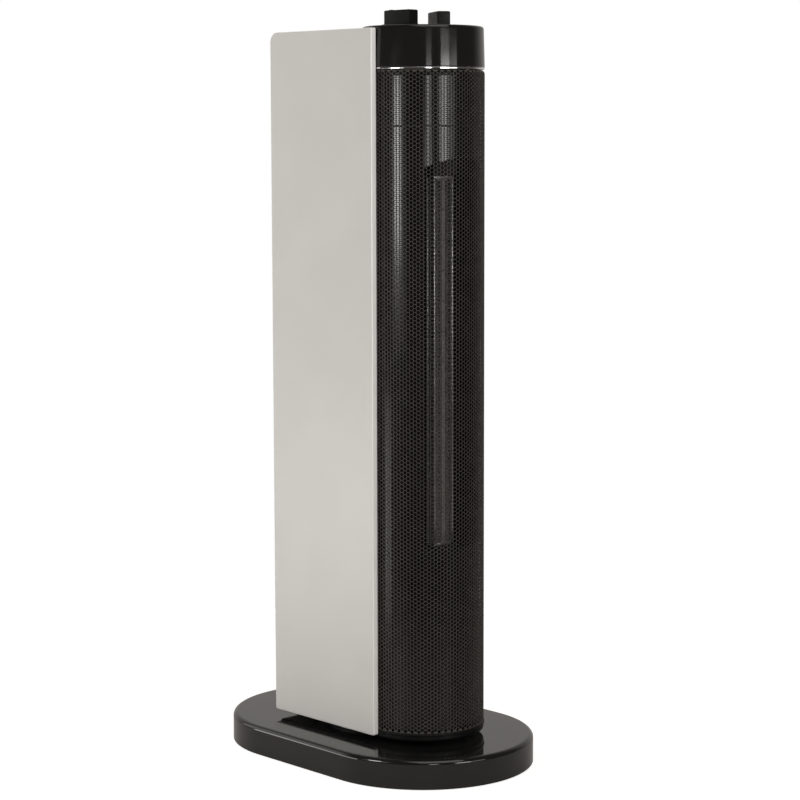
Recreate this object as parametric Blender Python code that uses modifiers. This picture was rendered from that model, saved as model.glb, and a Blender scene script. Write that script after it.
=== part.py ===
# Swinging tower heater on a stadium-shaped foot. Metres, +Z up, the front faces -Y.
# The origin is on the floor, under the middle of the foot, and the tower turns about Z.
# The round front has an axis of its own, ahead of the turning axis.

import math

import bmesh
import bpy
from mathutils import Matrix, Vector

for leftover in list(bpy.data.objects):
    bpy.data.objects.remove(leftover)

# Clearances
gap = 0.0003
overrun = 0.004
weld = 0.00001

# Foot
foot_length = 0.287
foot_width = 0.183
foot_height = 0.0243
foot_wall = 0.0025
foot_edge_radius = 0.004
foot_edge_lift = 0.0005
foot_lower_edge_share = 0.16
sole_lift = 0.002
sole_thickness = 0.0025
boss_radius = 0.005
boss_inset = 0.0255
boss_setback = 0.0835
ballast_inset = 0.0115
ballast_thickness = 0.0055
pad_radius = 0.009
pad_recess = 0.0007
pad_inset = 0.0395
pad_setback = 0.0435

# Small screws, used in the foot, the turntable and the back
screw_radius = 0.0014
screw_head_radius = 0.0030
screw_head_height = 0.0014
screw_clearance = 0.0003

# Tip-over switch, under the cover of the foot
tip_inset = 0.0535
tip_setback = 0.0585
tip_travel = 0.004
tip_radius = 0.0035
tip_flange_radius = 0.0055
tip_flange_thickness = 0.0015
tip_switch_length = 0.020
tip_switch_width = 0.010

# Cord inlet in the back of the foot
inlet_height = 0.0115
inlet_radius = 0.0050
inlet_bore_radius = 0.0032
inlet_flange_radius = 0.0066
inlet_flange_thickness = 0.0022
inlet_flange_setback = 0.0006
inlet_nose_setback = 0.0004

# Turntable
neck_radius = 0.036
neck_wall = 0.006
neck_clearance = 0.0004
bearing_width = 0.006
bearing_thickness = 0.0027
bearing_clearance = 0.0009
neck_collar_width = 0.0015
retainer_lip = 0.006
retainer_inset = 0.001
retainer_thickness = 0.0025
retainer_clearance = 0.0006
neck_screw_depth = 0.0070
neck_screw_count = 3
neck_screw_turn = 30.0

# Swing drive: a crank in the tower, whose pin runs in a slot of the foot
crank_offset = 0.014
crank_throw = 0.007
crank_disc_radius = 0.010
crank_disc_thickness = 0.004
crank_disc_drop = 0.005
crank_pin_radius = 0.0025
crank_shaft_radius = 0.003
crank_shaft_depth = 0.009
crank_swing = 30.0
crank_ratio = 3.4
slot_clearance = 0.0009
slot_wall = 0.0034
slot_block_height = 0.009
slot_floor = 0.003
slot_pin_gap = 0.001
swing_motor_radius = 0.024
swing_motor_height = 0.018
swing_motor_ear = 0.006

# Tower body
tower_radius = 0.0497
front_setback = 0.053
plate_thickness = 0.005
plate_height = 0.569
plate_depth = 0.124
plate_lift = 0.0057
plate_front_inset = 0.001
plate_corner_radius = 0.008
plate_edge = 0.0006
tray_lift = 0.0037
tray_height = 0.0067
tray_floor = 0.003
tray_wall = 0.0025
tray_edge_radius = 0.0022
housing_wall = 0.003
housing_setback = 0.015
housing_top_inset = 0.002
housing_edge = 0.001
mesh_thickness = 0.0008
mesh_shoulder_radius = 0.0028
mesh_flange = 0.0008
shell_wall = 0.002
shell_leg = 0.033
top_deck_thickness = 0.0032
top_deck_leg = 0.063
top_deck_hole_play = 0.0009

# Rear screws and the posts that they turn into
post_spread = 0.038
post_width = 0.010
post_depth = 0.009
post_height = 0.019
rear_screw_height = 0.011
rear_screw_length = 0.010

# Control head
head_rise = 0.002
head_height = 0.0325
head_wall = 0.0025
head_draft = 0.0008
head_edge_radius = 0.0024
trim_height = 0.0016
trim_recess = 0.0003
trim_lip = 0.0005
trim_taper = 0.0023
trim_width = 0.0035
control_spread = 0.021
control_setback = 0.003
thermostat_turn = 28.0
knob_skirt_radius = 0.0155
knob_skirt_height = 0.0008
knob_length = 0.0288
knob_thickness = 0.0109
knob_height = 0.0128
knob_edge = 0.0011
knob_dot_radius = 0.0022
knob_dot_rise = 0.0005
knob_dot_setback = 0.0036
spindle_radius = 0.003
spindle_play = 0.0003
spindle_hole_play = 0.001
spindle_socket_depth = 0.0092
spindle_drop = 0.0075
switch_width = 0.024
switch_height = 0.0162
thermostat_width = 0.028
thermostat_height = 0.0182

# Window in the inner shell and what stands behind it
window_angle = 42.0
window_rise = 0.1505
window_drop = 0.0691
window_arch = 0.0072
window_corner_radius = 0.006
element_width = 0.021
element_depth = 0.0095
element_advance = 0.0243
element_sink = 0.0012
element_drop = 0.0147
element_rail = 0.0012
element_cap = 0.002
stone_width = 0.0032
fin_fold = 0.0013
fin_pitch = 0.0044
fin_inset = 0.0003
holder_width = 0.026
holder_depth = 0.014
holder_foot_width = 0.036
holder_foot_thickness = 0.0025
cutout_width = 0.009
cutout_depth = 0.008
cutout_height = 0.0065
cutout_spread = 0.0188

# Blower
fan_deck_thickness = 0.003
fan_deck_drop = 0.0325
fan_deck_rise = 0.0198
fan_setback = 0.0467
impeller_radius = 0.030
impeller_ring_width = 0.0075
impeller_disc_thickness = 0.0015
impeller_lower_gap = 0.004
impeller_upper_gap = 0.010
impeller_hub_radius = 0.008
impeller_hub_height = 0.015
impeller_blades = 16
blade_thickness = 0.0009
blade_lean_shares = (0.0, 0.22, 0.30)
shaft_radius = 0.003
shaft_play = 0.0003
bearing_bush_radius = 0.008
bearing_bush_flange = 0.0025
bearing_bush_flange_thickness = 0.002
stub_reach = 0.003
duct_wall = 0.0018
duct_mouth_half_width = 0.0295
duct_mouth_advance = 0.029
duct_throat_half_width = 0.033
duct_throat_setback = 0.013
scroll_clearance = 0.0090
cutoff_clearance = 0.0036
duct_back_margin = 0.0022

# Fan motor, under the lower fan deck
rotor_radius = 0.015
rotor_height = 0.023
rotor_play = 0.0006
rotor_tail = 0.008
stator_half_width = 0.030
stator_height = 0.024
stator_front = 0.025
stator_window_reach = 0.021
stator_window_depth = 0.010
stator_window_half_width = 0.0185
stator_leg = 0.009
coil_half_width = 0.015
coil_wall = 0.005
coil_play = 0.0004
bracket_thickness = 0.002
bracket_half_length = 0.026
bracket_half_width = 0.010
bracket_post_radius = 0.0035
bracket_post_spread = 0.021
bracket_post_height = 0.0104

# Back of the tower
intake_half_width = 0.036
intake_frame = 0.0045
intake_rib = 0.005
intake_thickness = 0.0026
slot_height = 0.0045
slot_pitch = 0.009
slot_end_steps = 2
screen_thickness = 0.0015
screen_inset = 0.001
grip_half_width = 0.034
grip_height = 0.031
grip_depth = 0.016
grip_wall = 0.0025
grip_drop = 0.0215
grip_edge = 0.003

# Internal lead
lead_radius = 0.0024
lead_lift = 0.0008
lead_play = 0.0009
lead_notch_play = 0.0006
lead_bend = 0.018
lead_dip_shares = (0.45, 0.35)
lead_run_shares = (0.25, 0.5, 0.75)
lead_rise_shares = ((0.67, 0.18), (1.0, 0.58), (1.0, 0.80))
lead_lower_shares = ((0.10, 0.20), (0.55, 0.50), (0.93, 0.76))
lead_upper_shares = ((0.18, 0.25), (0.75, 0.66))

# How finely round shapes are divided
foot_end_steps = 20
front_steps = 36
round_sides = 36
small_sides = 16

# Levels, worked out from the sizes
sole_top = sole_lift + sole_thickness
cover_under = foot_height - foot_wall
tray_bottom = foot_height + tray_lift
tray_floor_top = tray_bottom + tray_floor
tray_top = tray_bottom + tray_height
plate_bottom = foot_height + plate_lift
plate_top = plate_bottom + plate_height
housing_bottom = tray_top + gap
housing_top = plate_top - housing_top_inset
head_top = plate_top + head_rise
head_bottom = head_top - head_height
trim_top = head_bottom - gap
trim_bottom = trim_top - trim_height
mesh_top = trim_bottom - gap
mesh_bottom = tray_top + gap
top_deck_top = mesh_top - mesh_flange - gap
top_deck_bottom = top_deck_top - top_deck_thickness
shell_top = top_deck_bottom - gap
shell_bottom = tray_floor_top + gap
window_bottom = mesh_bottom + window_rise
window_top = mesh_top - window_drop
fan_lower_top = window_bottom - fan_deck_drop
fan_lower_bottom = fan_lower_top - fan_deck_thickness
fan_upper_bottom = window_top + fan_deck_rise
fan_upper_top = fan_upper_bottom + fan_deck_thickness
element_bottom = window_bottom - element_sink
element_top = window_top - element_drop

# Places in plan, worked out from the sizes
boss_spread = foot_width / 2 - boss_inset
boss_reach = foot_length / 2 - boss_setback
pad_spread = foot_width / 2 - pad_inset
pad_reach = foot_length / 2 - pad_setback
tip_spread = foot_width / 2 - tip_inset
tip_reach = foot_length / 2 - tip_setback
front_axis = -front_setback
plate_front = front_axis + plate_front_inset
plate_back = plate_front + plate_depth
back_face = plate_back - gap
back_inside = back_face - housing_wall
housing_front = front_axis + housing_setback
shell_radius = tower_radius - housing_wall - gap
shell_inside = shell_radius - shell_wall
fan_deck_radius = shell_inside - gap
fan_deck_back = back_inside - gap
fan_axis = back_inside - fan_setback
element_front = front_axis - element_advance
element_back = element_front + element_depth
control_y = front_axis + control_setback
function_place = (-control_spread, control_y)
thermostat_place = (control_spread, control_y)

heater = bpy.data.collections.new("tower_heater")
cutters = bpy.data.collections.new("cutters")
for group in (heater, cutters):
    bpy.context.scene.collection.children.link(group)


def outward(shape):
    """Turns a closed shape's faces outwards."""
    if shape.calc_volume(signed=True) < 0:
        bmesh.ops.reverse_faces(shape, faces=shape.faces)


def add(name, shape):
    """A new piece of the heater from an edited mesh."""
    mesh = bpy.data.meshes.new(name)
    shape.to_mesh(mesh)
    shape.free()
    piece = bpy.data.objects.new(name, mesh)
    heater.objects.link(piece)
    return piece


def settled(drawn):
    """The object's evaluated shape as a plain closed mesh, in the place of the object."""
    bpy.context.view_layer.update()
    graph = bpy.context.evaluated_depsgraph_get()
    mesh = bpy.data.meshes.new_from_object(drawn.evaluated_get(graph))
    mesh.transform(drawn.matrix_world)
    shape = bmesh.new()
    shape.from_mesh(mesh)
    bmesh.ops.remove_doubles(shape, verts=shape.verts, dist=weld)
    bmesh.ops.recalc_face_normals(shape, faces=shape.faces)
    outward(shape)
    name = drawn.name
    bpy.data.objects.remove(drawn)
    bpy.data.meshes.remove(mesh)
    return add(name, shape)


def box(name, low, high):
    low, high = Vector(low), Vector(high)
    shape = bmesh.new()
    place = Matrix.Translation((low + high) / 2) @ Matrix.Diagonal((*(high - low), 1))
    bmesh.ops.create_cube(shape, size=1, matrix=place)
    return add(name, shape)


def rod(name, radius, start, end, sides=small_sides):
    start, end = Vector(start), Vector(end)
    along = end - start
    turn = along.to_track_quat("Z", "Y").to_matrix().to_4x4()
    shape = bmesh.new()
    bmesh.ops.create_cone(
        shape,
        cap_ends=True,
        segments=sides,
        radius1=radius,
        radius2=radius,
        depth=along.length,
        matrix=Matrix.Translation((start + end) / 2) @ turn,
    )
    return add(name, shape)


def turned(name, profile, centre=(0, 0), sides=round_sides, closed=True):
    """A profile of (radius, height) points turned about an upright axis through centre."""
    shape = bmesh.new()
    points = [shape.verts.new((radius, 0, height)) for radius, height in profile]
    followers = points[1:] + points[:1] if closed else points[1:]
    for first, second in zip(points, followers):
        shape.edges.new((first, second))
    piece = add(name, shape)
    screw = piece.modifiers.new("turn", "SCREW")
    screw.steps = sides
    screw.render_steps = sides
    screw.use_merge_vertices = True
    screw.merge_threshold = weld
    piece.location = (*centre, 0)
    return settled(piece)


turns = {
    "XY": Matrix(((1, 0, 0), (0, 1, 0), (0, 0, 1))),
    "XZ": Matrix(((1, 0, 0), (0, 0, -1), (0, 1, 0))),
    "YZ": Matrix(((0, 0, 1), (1, 0, 0), (0, 1, 0))),
}
extrusions = {"XY": Vector((0, 0, 1)), "XZ": Vector((0, 1, 0)), "YZ": Vector((1, 0, 0))}


def flat(name, loops, low, high, plane="XY"):
    """A flat outline, with any holes as further loops, from low to high across its plane."""
    outline = bpy.data.curves.new(name, "CURVE")
    outline.dimensions = "2D"
    outline.fill_mode = "BOTH"
    outline.extrude = (high - low) / 2
    for loop in loops:
        spline = outline.splines.new("POLY")
        spline.points.add(len(loop) - 1)
        for point, (across, along) in zip(spline.points, loop):
            point.co = (across, along, 0, 1)
        spline.use_cyclic_u = True
    drawn = bpy.data.objects.new(name, outline)
    heater.objects.link(drawn)
    middle = extrusions[plane] * ((low + high) / 2)
    drawn.matrix_world = Matrix.Translation(middle) @ turns[plane].to_4x4()
    return settled(drawn)


def loft(name, rows, wall, offset):
    """An open surface through rows of points, given a wall."""
    shape = bmesh.new()
    grid = [[shape.verts.new(point) for point in row] for row in rows]
    for lower, upper in zip(grid, grid[1:]):
        for left in range(len(lower) - 1):
            shape.faces.new((lower[left], lower[left + 1], upper[left + 1], upper[left]))
    piece = add(name, shape)
    solid = piece.modifiers.new("wall", "SOLIDIFY")
    solid.thickness = wall
    solid.offset = offset
    solid.use_even_offset = True
    return piece


def ribbon(name, edges, low, high):
    """A folded strip: pairs of (x, z) points across its thickness, from low to high along Y."""
    shape = bmesh.new()
    rings = []
    for (x1, z1), (x2, z2) in edges:
        ring = ((x1, low, z1), (x2, low, z2), (x2, high, z2), (x1, high, z1))
        rings.append([shape.verts.new(point) for point in ring])
    for ring, following in zip(rings, rings[1:]):
        for side in range(4):
            after = (side + 1) % 4
            shape.faces.new((ring[side], ring[after], following[after], following[side]))
    shape.faces.new(rings[0][::-1])
    shape.faces.new(rings[-1])
    outward(shape)
    return add(name, shape)


def lead(name, route, steps=4):
    """A round lead on a smooth curve through hand-placed points."""
    ends = [route[0]] + list(route) + [route[-1]]
    points = []
    for before, start, end, after in zip(ends, ends[1:], ends[2:], ends[3:]):
        before, start, end, after = map(Vector, (before, start, end, after))
        for step in range(steps):
            t = step / steps
            bend = 2 * start + (end - before) * t
            bend += (2 * before - 5 * start + 4 * end - after) * t**2
            bend += (3 * start - before - 3 * end + after) * t**3
            points.append(bend / 2)
    points.append(Vector(route[-1]))
    path = bpy.data.curves.new(name, "CURVE")
    path.dimensions = "3D"
    path.bevel_depth = lead_radius
    path.bevel_resolution = 2
    path.use_fill_caps = True
    spline = path.splines.new("POLY")
    spline.points.add(len(points) - 1)
    for knot, point in zip(spline.points, points):
        knot.co = (*point, 1)
    drawn = bpy.data.objects.new(name, path)
    heater.objects.link(drawn)
    return settled(drawn)


def with_tools(piece, tools, operation):
    """Joins or cuts the piece with tools, which leave the heater's own collection."""
    for tool in tools:
        change = piece.modifiers.new(tool.name, "BOOLEAN")
        change.operation = operation
        change.solver = "EXACT"
        change.object = tool
        tool.hide_render = True
        tool.display_type = "WIRE"
        heater.objects.unlink(tool)
        cutters.objects.link(tool)
    return piece


def cut(piece, *tools):
    return with_tools(piece, tools, "DIFFERENCE")


def join(piece, *tools):
    return with_tools(piece, tools, "UNION")


def bevel(piece, width, segments=2, angle=50.0):
    edge = piece.modifiers.new("edge", "BEVEL")
    edge.width = width
    edge.segments = segments
    edge.limit_method = "ANGLE"
    edge.angle_limit = math.radians(angle)
    return piece


def bevel_marked(piece, width, segments, share_of):
    """Rounds the edges for which share_of(edge) isn't zero, by that share of the width."""
    shape = bmesh.new()
    shape.from_mesh(piece.data)
    weights = shape.edges.layers.float.new("bevel_weight_edge")
    for edge in shape.edges:
        edge[weights] = share_of(edge)
    shape.to_mesh(piece.data)
    shape.free()
    rounding = piece.modifiers.new("edge", "BEVEL")
    rounding.width = width
    rounding.segments = segments
    rounding.limit_method = "WEIGHT"
    return piece


def on_level(edge, level):
    """Whether the edge runs round a flat end at this level. A seam inside the end doesn't count."""
    return edge.calc_face_angle(0) > 0.5 and all(abs(end.co.z - level) < weld for end in edge.verts)


def arc(centre, radius, start, end, steps):
    """Points on a circle from start to end, in degrees."""
    points = []
    for step in range(steps + 1):
        angle = math.radians(start + (end - start) * step / steps)
        points.append((centre[0] + radius * math.cos(angle), centre[1] + radius * math.sin(angle)))
    return points


def circle(centre, radius, sides=small_sides):
    return arc(centre, radius, 0, 360, sides)[:-1]


def stadium(inset):
    """The foot's outline, drawn in by inset: a half circle at each end."""
    radius = foot_width / 2 - inset
    reach = foot_length / 2 - foot_width / 2
    back = arc((0, reach), radius, 0, 180, foot_end_steps)
    front = arc((0, -reach), radius, 180, 360, foot_end_steps)
    return back + front


def rounded(low, high, radius, steps=3):
    """A rectangle with round corners."""
    points = []
    corners = ((high[0], high[1], 0), (low[0], high[1], 90), (low[0], low[1], 180), (high[0], low[1], 270))
    for x, y, start in corners:
        x += radius if x == low[0] else -radius
        y += radius if y == low[1] else -radius
        points += arc((x, y), radius, start, start + 90, steps)
    return points


def front_path(radius, back):
    """An open path round the tower's front: left leg, half circle, right leg."""
    bend = arc((0, front_axis), radius, 180, 360, front_steps)
    return [(-radius, back)] + bend + [(radius, back)]


def at_level(path, level):
    return [(x, y, level) for x, y in path]


def corners(spread, reach, middle=0):
    """Four places, left and right, ahead and behind."""
    return [(side * spread, middle + end * reach) for end in (-1, 1) for side in (-1, 1)]


def screw(name, seat, direction, length):
    """A small pan-head screw. seat is the middle of the head's underside, direction runs to the tip."""
    profile = (
        (0, -screw_head_height),
        (screw_head_radius, -screw_head_height),
        (screw_head_radius, 0),
        (screw_radius, 0),
        (screw_radius, length),
        (0, length),
    )
    piece = turned(name, profile, sides=small_sides, closed=False)
    turn = Vector(direction).to_track_quat("Z", "Y").to_matrix().to_4x4()
    piece.data.transform(Matrix.Translation(seat) @ turn)
    return piece


# Foot

screw_hole_radius = screw_radius + screw_clearance
counterbore_radius = screw_head_radius + screw_clearance
boss_bottom = sole_top + gap
boss_hole_top = cover_under - overrun / 2


def foot_cover():
    cover = flat("foot_cover", [stadium(0)], foot_edge_lift, foot_height)
    bevel_marked(
        cover,
        foot_edge_radius,
        4,
        lambda edge: 1.0
        if on_level(edge, foot_height)
        else foot_lower_edge_share * on_level(edge, foot_edge_lift),
    )
    bosses = [circle(place, boss_radius) for place in corners(boss_spread, boss_reach)]
    hollow = flat("cut_foot_hollow", [stadium(foot_wall)] + bosses, boss_bottom - gap, cover_under)
    mouth = flat("cut_foot_mouth", [stadium(foot_wall)], foot_edge_lift - overrun, boss_bottom)
    holes = [circle(place, screw_hole_radius) for place in corners(boss_spread, boss_reach)]
    threads = flat("cut_foot_threads", holes, boss_bottom - overrun, boss_hole_top)
    neck = neck_radius + neck_clearance
    neck_hole = rod("cut_foot_neck", neck, (0, 0, cover_under - overrun), (0, 0, foot_height + overrun), round_sides)
    back = foot_length / 2
    inlet = rod(
        "cut_foot_inlet",
        inlet_radius + gap,
        (0, back - foot_wall - overrun, inlet_height),
        (0, back + overrun, inlet_height),
        24,
    )
    return cut(cover, hollow, mouth, threads, neck_hole, inlet)


slot_half_width = crank_pin_radius + slot_clearance
pin_near = crank_offset * math.cos(math.radians(crank_swing))
pin_near += crank_throw * math.cos(math.radians((crank_ratio - 1) * crank_swing))
slot_far = crank_offset + crank_throw + crank_pin_radius + slot_clearance
slot_near = pin_near - crank_pin_radius - slot_clearance
slot_block_top = sole_top + slot_block_height
tip_place = (tip_spread, tip_reach)


def foot_sole():
    screws = [circle(place, screw_hole_radius) for place in corners(boss_spread, boss_reach)]
    plunger = circle(tip_place, tip_radius + gap)
    sole = flat("foot_sole", [stadium(foot_wall + gap), plunger] + screws, sole_lift, sole_top)
    block = box(
        "join_slot_block",
        (-slot_half_width - slot_wall, -slot_far - slot_wall, sole_top - sole_thickness / 2),
        (slot_half_width + slot_wall, -slot_near + slot_wall, slot_block_top),
    )
    track = box(
        "cut_slot_track",
        (-slot_half_width, -slot_far, sole_top + slot_floor),
        (slot_half_width, -slot_near, slot_block_top + overrun),
    )
    pads = [circle(place, pad_radius + gap, 24) for place in corners(pad_spread, pad_reach)]
    recesses = flat("cut_pad_recesses", pads, sole_lift - overrun, sole_lift + pad_recess)
    bores = [circle(place, counterbore_radius) for place in corners(boss_spread, boss_reach)]
    heads = flat("cut_screw_heads", bores, sole_lift - overrun, sole_lift + screw_head_height + gap)
    return cut(join(sole, block), track, recesses, heads)


def ballast_plate():
    low = sole_top + gap
    channel = lead_radius + lead_play
    clear = tip_flange_radius + gap
    switch_x = tip_switch_length / 2 + gap
    switch_y = max(tip_switch_width / 2, clear) + gap
    holes = [circle(place, boss_radius + gap, 24) for place in corners(boss_spread, boss_reach)]
    holes.append(circle((0, 0), neck_radius, round_sides))
    plate = flat("ballast_plate", [stadium(foot_wall + ballast_inset)] + holes, low, low + ballast_thickness)
    lead_channel = box(
        "cut_ballast_channel",
        (-channel, 0, low - overrun),
        (channel, foot_length, low + ballast_thickness + overrun),
    )
    pocket = box(
        "cut_ballast_pocket",
        (tip_spread - switch_x, tip_reach - switch_y, low - overrun),
        (tip_spread + switch_x, tip_reach + switch_y, low + ballast_thickness + overrun),
    )
    return cut(plate, lead_channel, pocket)


def rubber_pads():
    made = []
    top = sole_lift + pad_recess - gap
    for number, (x, y) in enumerate(corners(pad_spread, pad_reach), 1):
        pad = rod(f"rubber_pad_{number}", pad_radius, (x, y, 0), (x, y, top), 24)
        made.append(bevel(pad, gap, 1))
    return made


def foot_screws():
    made = []
    seat = sole_lift + screw_head_height
    length = boss_hole_top - gap - seat
    for number, (x, y) in enumerate(corners(boss_spread, boss_reach), 1):
        made.append(screw(f"foot_screw_{number}", (x, y, seat), (0, 0, 1), length))
    return made


tip_flange_bottom = sole_top + tip_travel + gap
tip_top = tip_flange_bottom + tip_flange_thickness


def tip_plunger():
    profile = (
        (0, tip_top),
        (tip_flange_radius, tip_top),
        (tip_flange_radius, tip_flange_bottom),
        (tip_radius, tip_flange_bottom),
        (tip_radius, tip_radius / 2),
        (tip_radius / 2, gap),
        (0, gap),
    )
    return turned("tip_plunger", profile, tip_place, 20, closed=False)


def tip_switch():
    half = Vector((tip_switch_length / 2, tip_switch_width / 2, 0))
    low = Vector((*tip_place, tip_top + gap)) - half
    high = Vector((*tip_place, cover_under - gap)) + half
    return bevel(box("tip_switch", low, high), gap, 1)


def cord_inlet():
    back = foot_length / 2
    nose = back - inlet_nose_setback
    flange = back - foot_wall - inlet_flange_setback
    inside = flange - inlet_flange_thickness
    profile = (
        (inlet_bore_radius, inside),
        (inlet_flange_radius, inside),
        (inlet_flange_radius, flange),
        (inlet_radius, flange),
        (inlet_radius, nose - inlet_flange_setback),
        (inlet_radius - inlet_flange_setback, nose),
        (inlet_bore_radius, nose),
    )
    bush = turned("cord_inlet", profile, sides=24)
    bush.data.transform(Matrix.Translation((0, 0, inlet_height)) @ Matrix.Rotation(-math.pi / 2, 4, "X"))
    return bush


# Turntable and swing drive

bearing_inside = neck_radius + bearing_clearance
bearing_bottom = foot_height + gap
bearing_top = bearing_bottom + bearing_thickness
collar_radius = bearing_inside + bearing_width + neck_collar_width
retainer_top = cover_under - retainer_clearance
retainer_bottom = retainer_top - retainer_thickness
neck_bottom = retainer_top + gap
neck_inside = neck_radius - neck_wall
neck_middle = neck_radius - neck_wall / 2
crank_y = -crank_offset
crank_disc_top = tray_bottom - crank_disc_drop
crank_disc_bottom = crank_disc_top - crank_disc_thickness


def neck_screw_places():
    places = []
    for number in range(neck_screw_count):
        angle = math.radians(neck_screw_turn + 360 * number / neck_screw_count)
        places.append((neck_middle * math.cos(angle), neck_middle * math.sin(angle)))
    return places


def bearing_ring():
    profile = (
        (bearing_inside, bearing_bottom),
        (bearing_inside + bearing_width, bearing_bottom),
        (bearing_inside + bearing_width, bearing_top),
        (bearing_inside, bearing_top),
    )
    return turned("bearing_ring", profile)


def retaining_ring():
    inner = circle((0, 0), neck_inside - retainer_inset, round_sides)
    outer = circle((0, 0), neck_radius + retainer_lip, round_sides)
    holes = [circle(place, screw_hole_radius) for place in neck_screw_places()]
    return flat("retaining_ring", [outer, inner] + holes, retainer_bottom, retainer_top)


def neck_screws():
    made = []
    length = neck_bottom + neck_screw_depth - gap - retainer_bottom
    for number, (x, y) in enumerate(neck_screw_places(), 1):
        made.append(screw(f"neck_screw_{number}", (x, y, retainer_bottom - gap), (0, 0, 1), length))
    return made


def swing_crank():
    pin_bottom = sole_top + slot_floor + slot_pin_gap
    pin_y = crank_y - crank_throw
    disc = rod("swing_crank", crank_disc_radius, (0, crank_y, crank_disc_bottom), (0, crank_y, crank_disc_top), 28)
    pin = rod("join_crank_pin", crank_pin_radius, (0, pin_y, pin_bottom), (0, pin_y, crank_disc_top - gap))
    shaft_top = tray_floor_top + crank_shaft_depth
    shaft = rod("join_crank_shaft", crank_shaft_radius, (0, crank_y, crank_disc_bottom + gap), (0, crank_y, shaft_top))
    return join(disc, pin, shaft)


def swing_motor():
    low = tray_floor_top + gap
    middle = crank_y - crank_shaft_radius - (swing_motor_radius - 2 * crank_shaft_radius)
    can = rod("swing_motor", swing_motor_radius, (0, middle, low), (0, middle, low + swing_motor_height), round_sides)
    bevel(can, plate_edge, 1)
    ear_half = swing_motor_radius + swing_motor_ear
    ears = box(
        "join_motor_ears",
        (-ear_half, middle - swing_motor_ear / 2, low),
        (ear_half, middle + swing_motor_ear / 2, low + fan_deck_thickness / 2),
    )
    socket = rod(
        "cut_motor_socket",
        crank_shaft_radius + gap,
        (0, crank_y, low - overrun),
        (0, crank_y, tray_floor_top + crank_shaft_depth + gap),
    )
    return cut(join(can, ears), socket)


# Tower body

def bottom_tray():
    outline = front_path(tower_radius, back_face)
    tray = flat("bottom_tray", [outline], tray_bottom, tray_top)
    bevel_marked(tray, tray_edge_radius, 3, lambda edge: 1.0 * on_level(edge, tray_bottom))
    inside = tower_radius - tray_wall
    well = flat(
        "cut_tray_well", [front_path(inside, back_face - tray_wall)], tray_floor_top, tray_top + overrun
    )
    collar = (
        (neck_inside, neck_bottom),
        (neck_radius, neck_bottom),
        (neck_radius, bearing_top + gap),
        (collar_radius, bearing_top + gap),
        (collar_radius, tray_bottom + tray_floor / 2),
        (neck_inside, tray_bottom + tray_floor / 2),
    )
    neck = turned("join_neck", collar)
    holes = [circle(place, screw_hole_radius) for place in neck_screw_places()]
    threads = flat("cut_neck_threads", holes, neck_bottom - overrun, neck_bottom + neck_screw_depth)
    pass_through = flat(
        "cut_tray_holes",
        [circle((0, crank_y), crank_shaft_radius + gap), circle((0, 0), lead_radius + lead_play)],
        tray_bottom - overrun,
        tray_floor_top + overrun,
    )
    post_top = tray_floor_top + post_height
    post_back = back_inside - gap
    posts = []
    for side in (-1, 1):
        x = side * post_spread
        posts.append(
            box(
                f"join_post_{side}",
                (x - post_width / 2, post_back - post_depth, tray_floor_top - gap),
                (x + post_width / 2, post_back, post_top),
            )
        )
    screw_z = tray_floor_top + rear_screw_height
    bores = [circle((side * post_spread, screw_z), screw_hole_radius) for side in (-1, 1)]
    post_holes = flat(
        "cut_post_holes", bores, post_back - rear_screw_length + gap, post_back + overrun, "XZ"
    )
    return cut(join(cut(tray, well), neck, *posts), threads, pass_through, post_holes)


def side_plate(name, side):
    """A flat plate with one round corner, at the top of its back edge."""
    radius = plate_corner_radius
    loop = [(plate_front, plate_bottom), (plate_back, plate_bottom)]
    loop += arc((plate_back - radius, plate_top - radius), radius, 0, 90, 6)
    loop.append((plate_front, plate_top))
    inner = side * (tower_radius + gap)
    outer = inner + side * plate_thickness
    plate = flat(name, [loop], min(inner, outer), max(inner, outer), "YZ")
    return bevel(plate, plate_edge, 2, 60.0)


def front_mesh():
    """The perforated front, here as a plain sheet with its rounded shoulder and top flange."""
    back = housing_front - gap
    bend = mesh_top - mesh_shoulder_radius
    rows = [at_level(front_path(tower_radius, back), mesh_bottom)]
    for inset, height in arc((mesh_shoulder_radius, 0), mesh_shoulder_radius, 180, 90, 4):
        rows.append(at_level(front_path(tower_radius - inset, back), bend + height))
    rows.append(at_level(front_path(shell_radius - mesh_flange / 2, back), mesh_top))
    return loft("front_mesh", rows, mesh_thickness, -1)


def inner_shell():
    back = front_axis + shell_leg
    rows = [at_level(front_path(shell_radius, back), level) for level in (shell_bottom, shell_top)]
    shell = loft("inner_shell", rows, shell_wall, -1)
    half = shell_radius * math.sin(math.radians(window_angle))
    radius = (half**2 + window_arch**2) / (2 * window_arch)
    sweep = math.degrees(math.asin(half / radius))
    corner_x = half - window_corner_radius
    corner_z = window_bottom + window_corner_radius
    loop = arc((0, window_top - radius), radius, 90 - sweep, 90 + sweep, 10)
    loop += arc((-corner_x, corner_z), window_corner_radius, 180, 270, 4)
    loop += arc((corner_x, corner_z), window_corner_radius, 270, 360, 4)
    window = flat(
        "cut_shell_window", [loop], front_axis - shell_radius - overrun, front_axis - overrun, "XZ"
    )
    return cut(shell, window)


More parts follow.
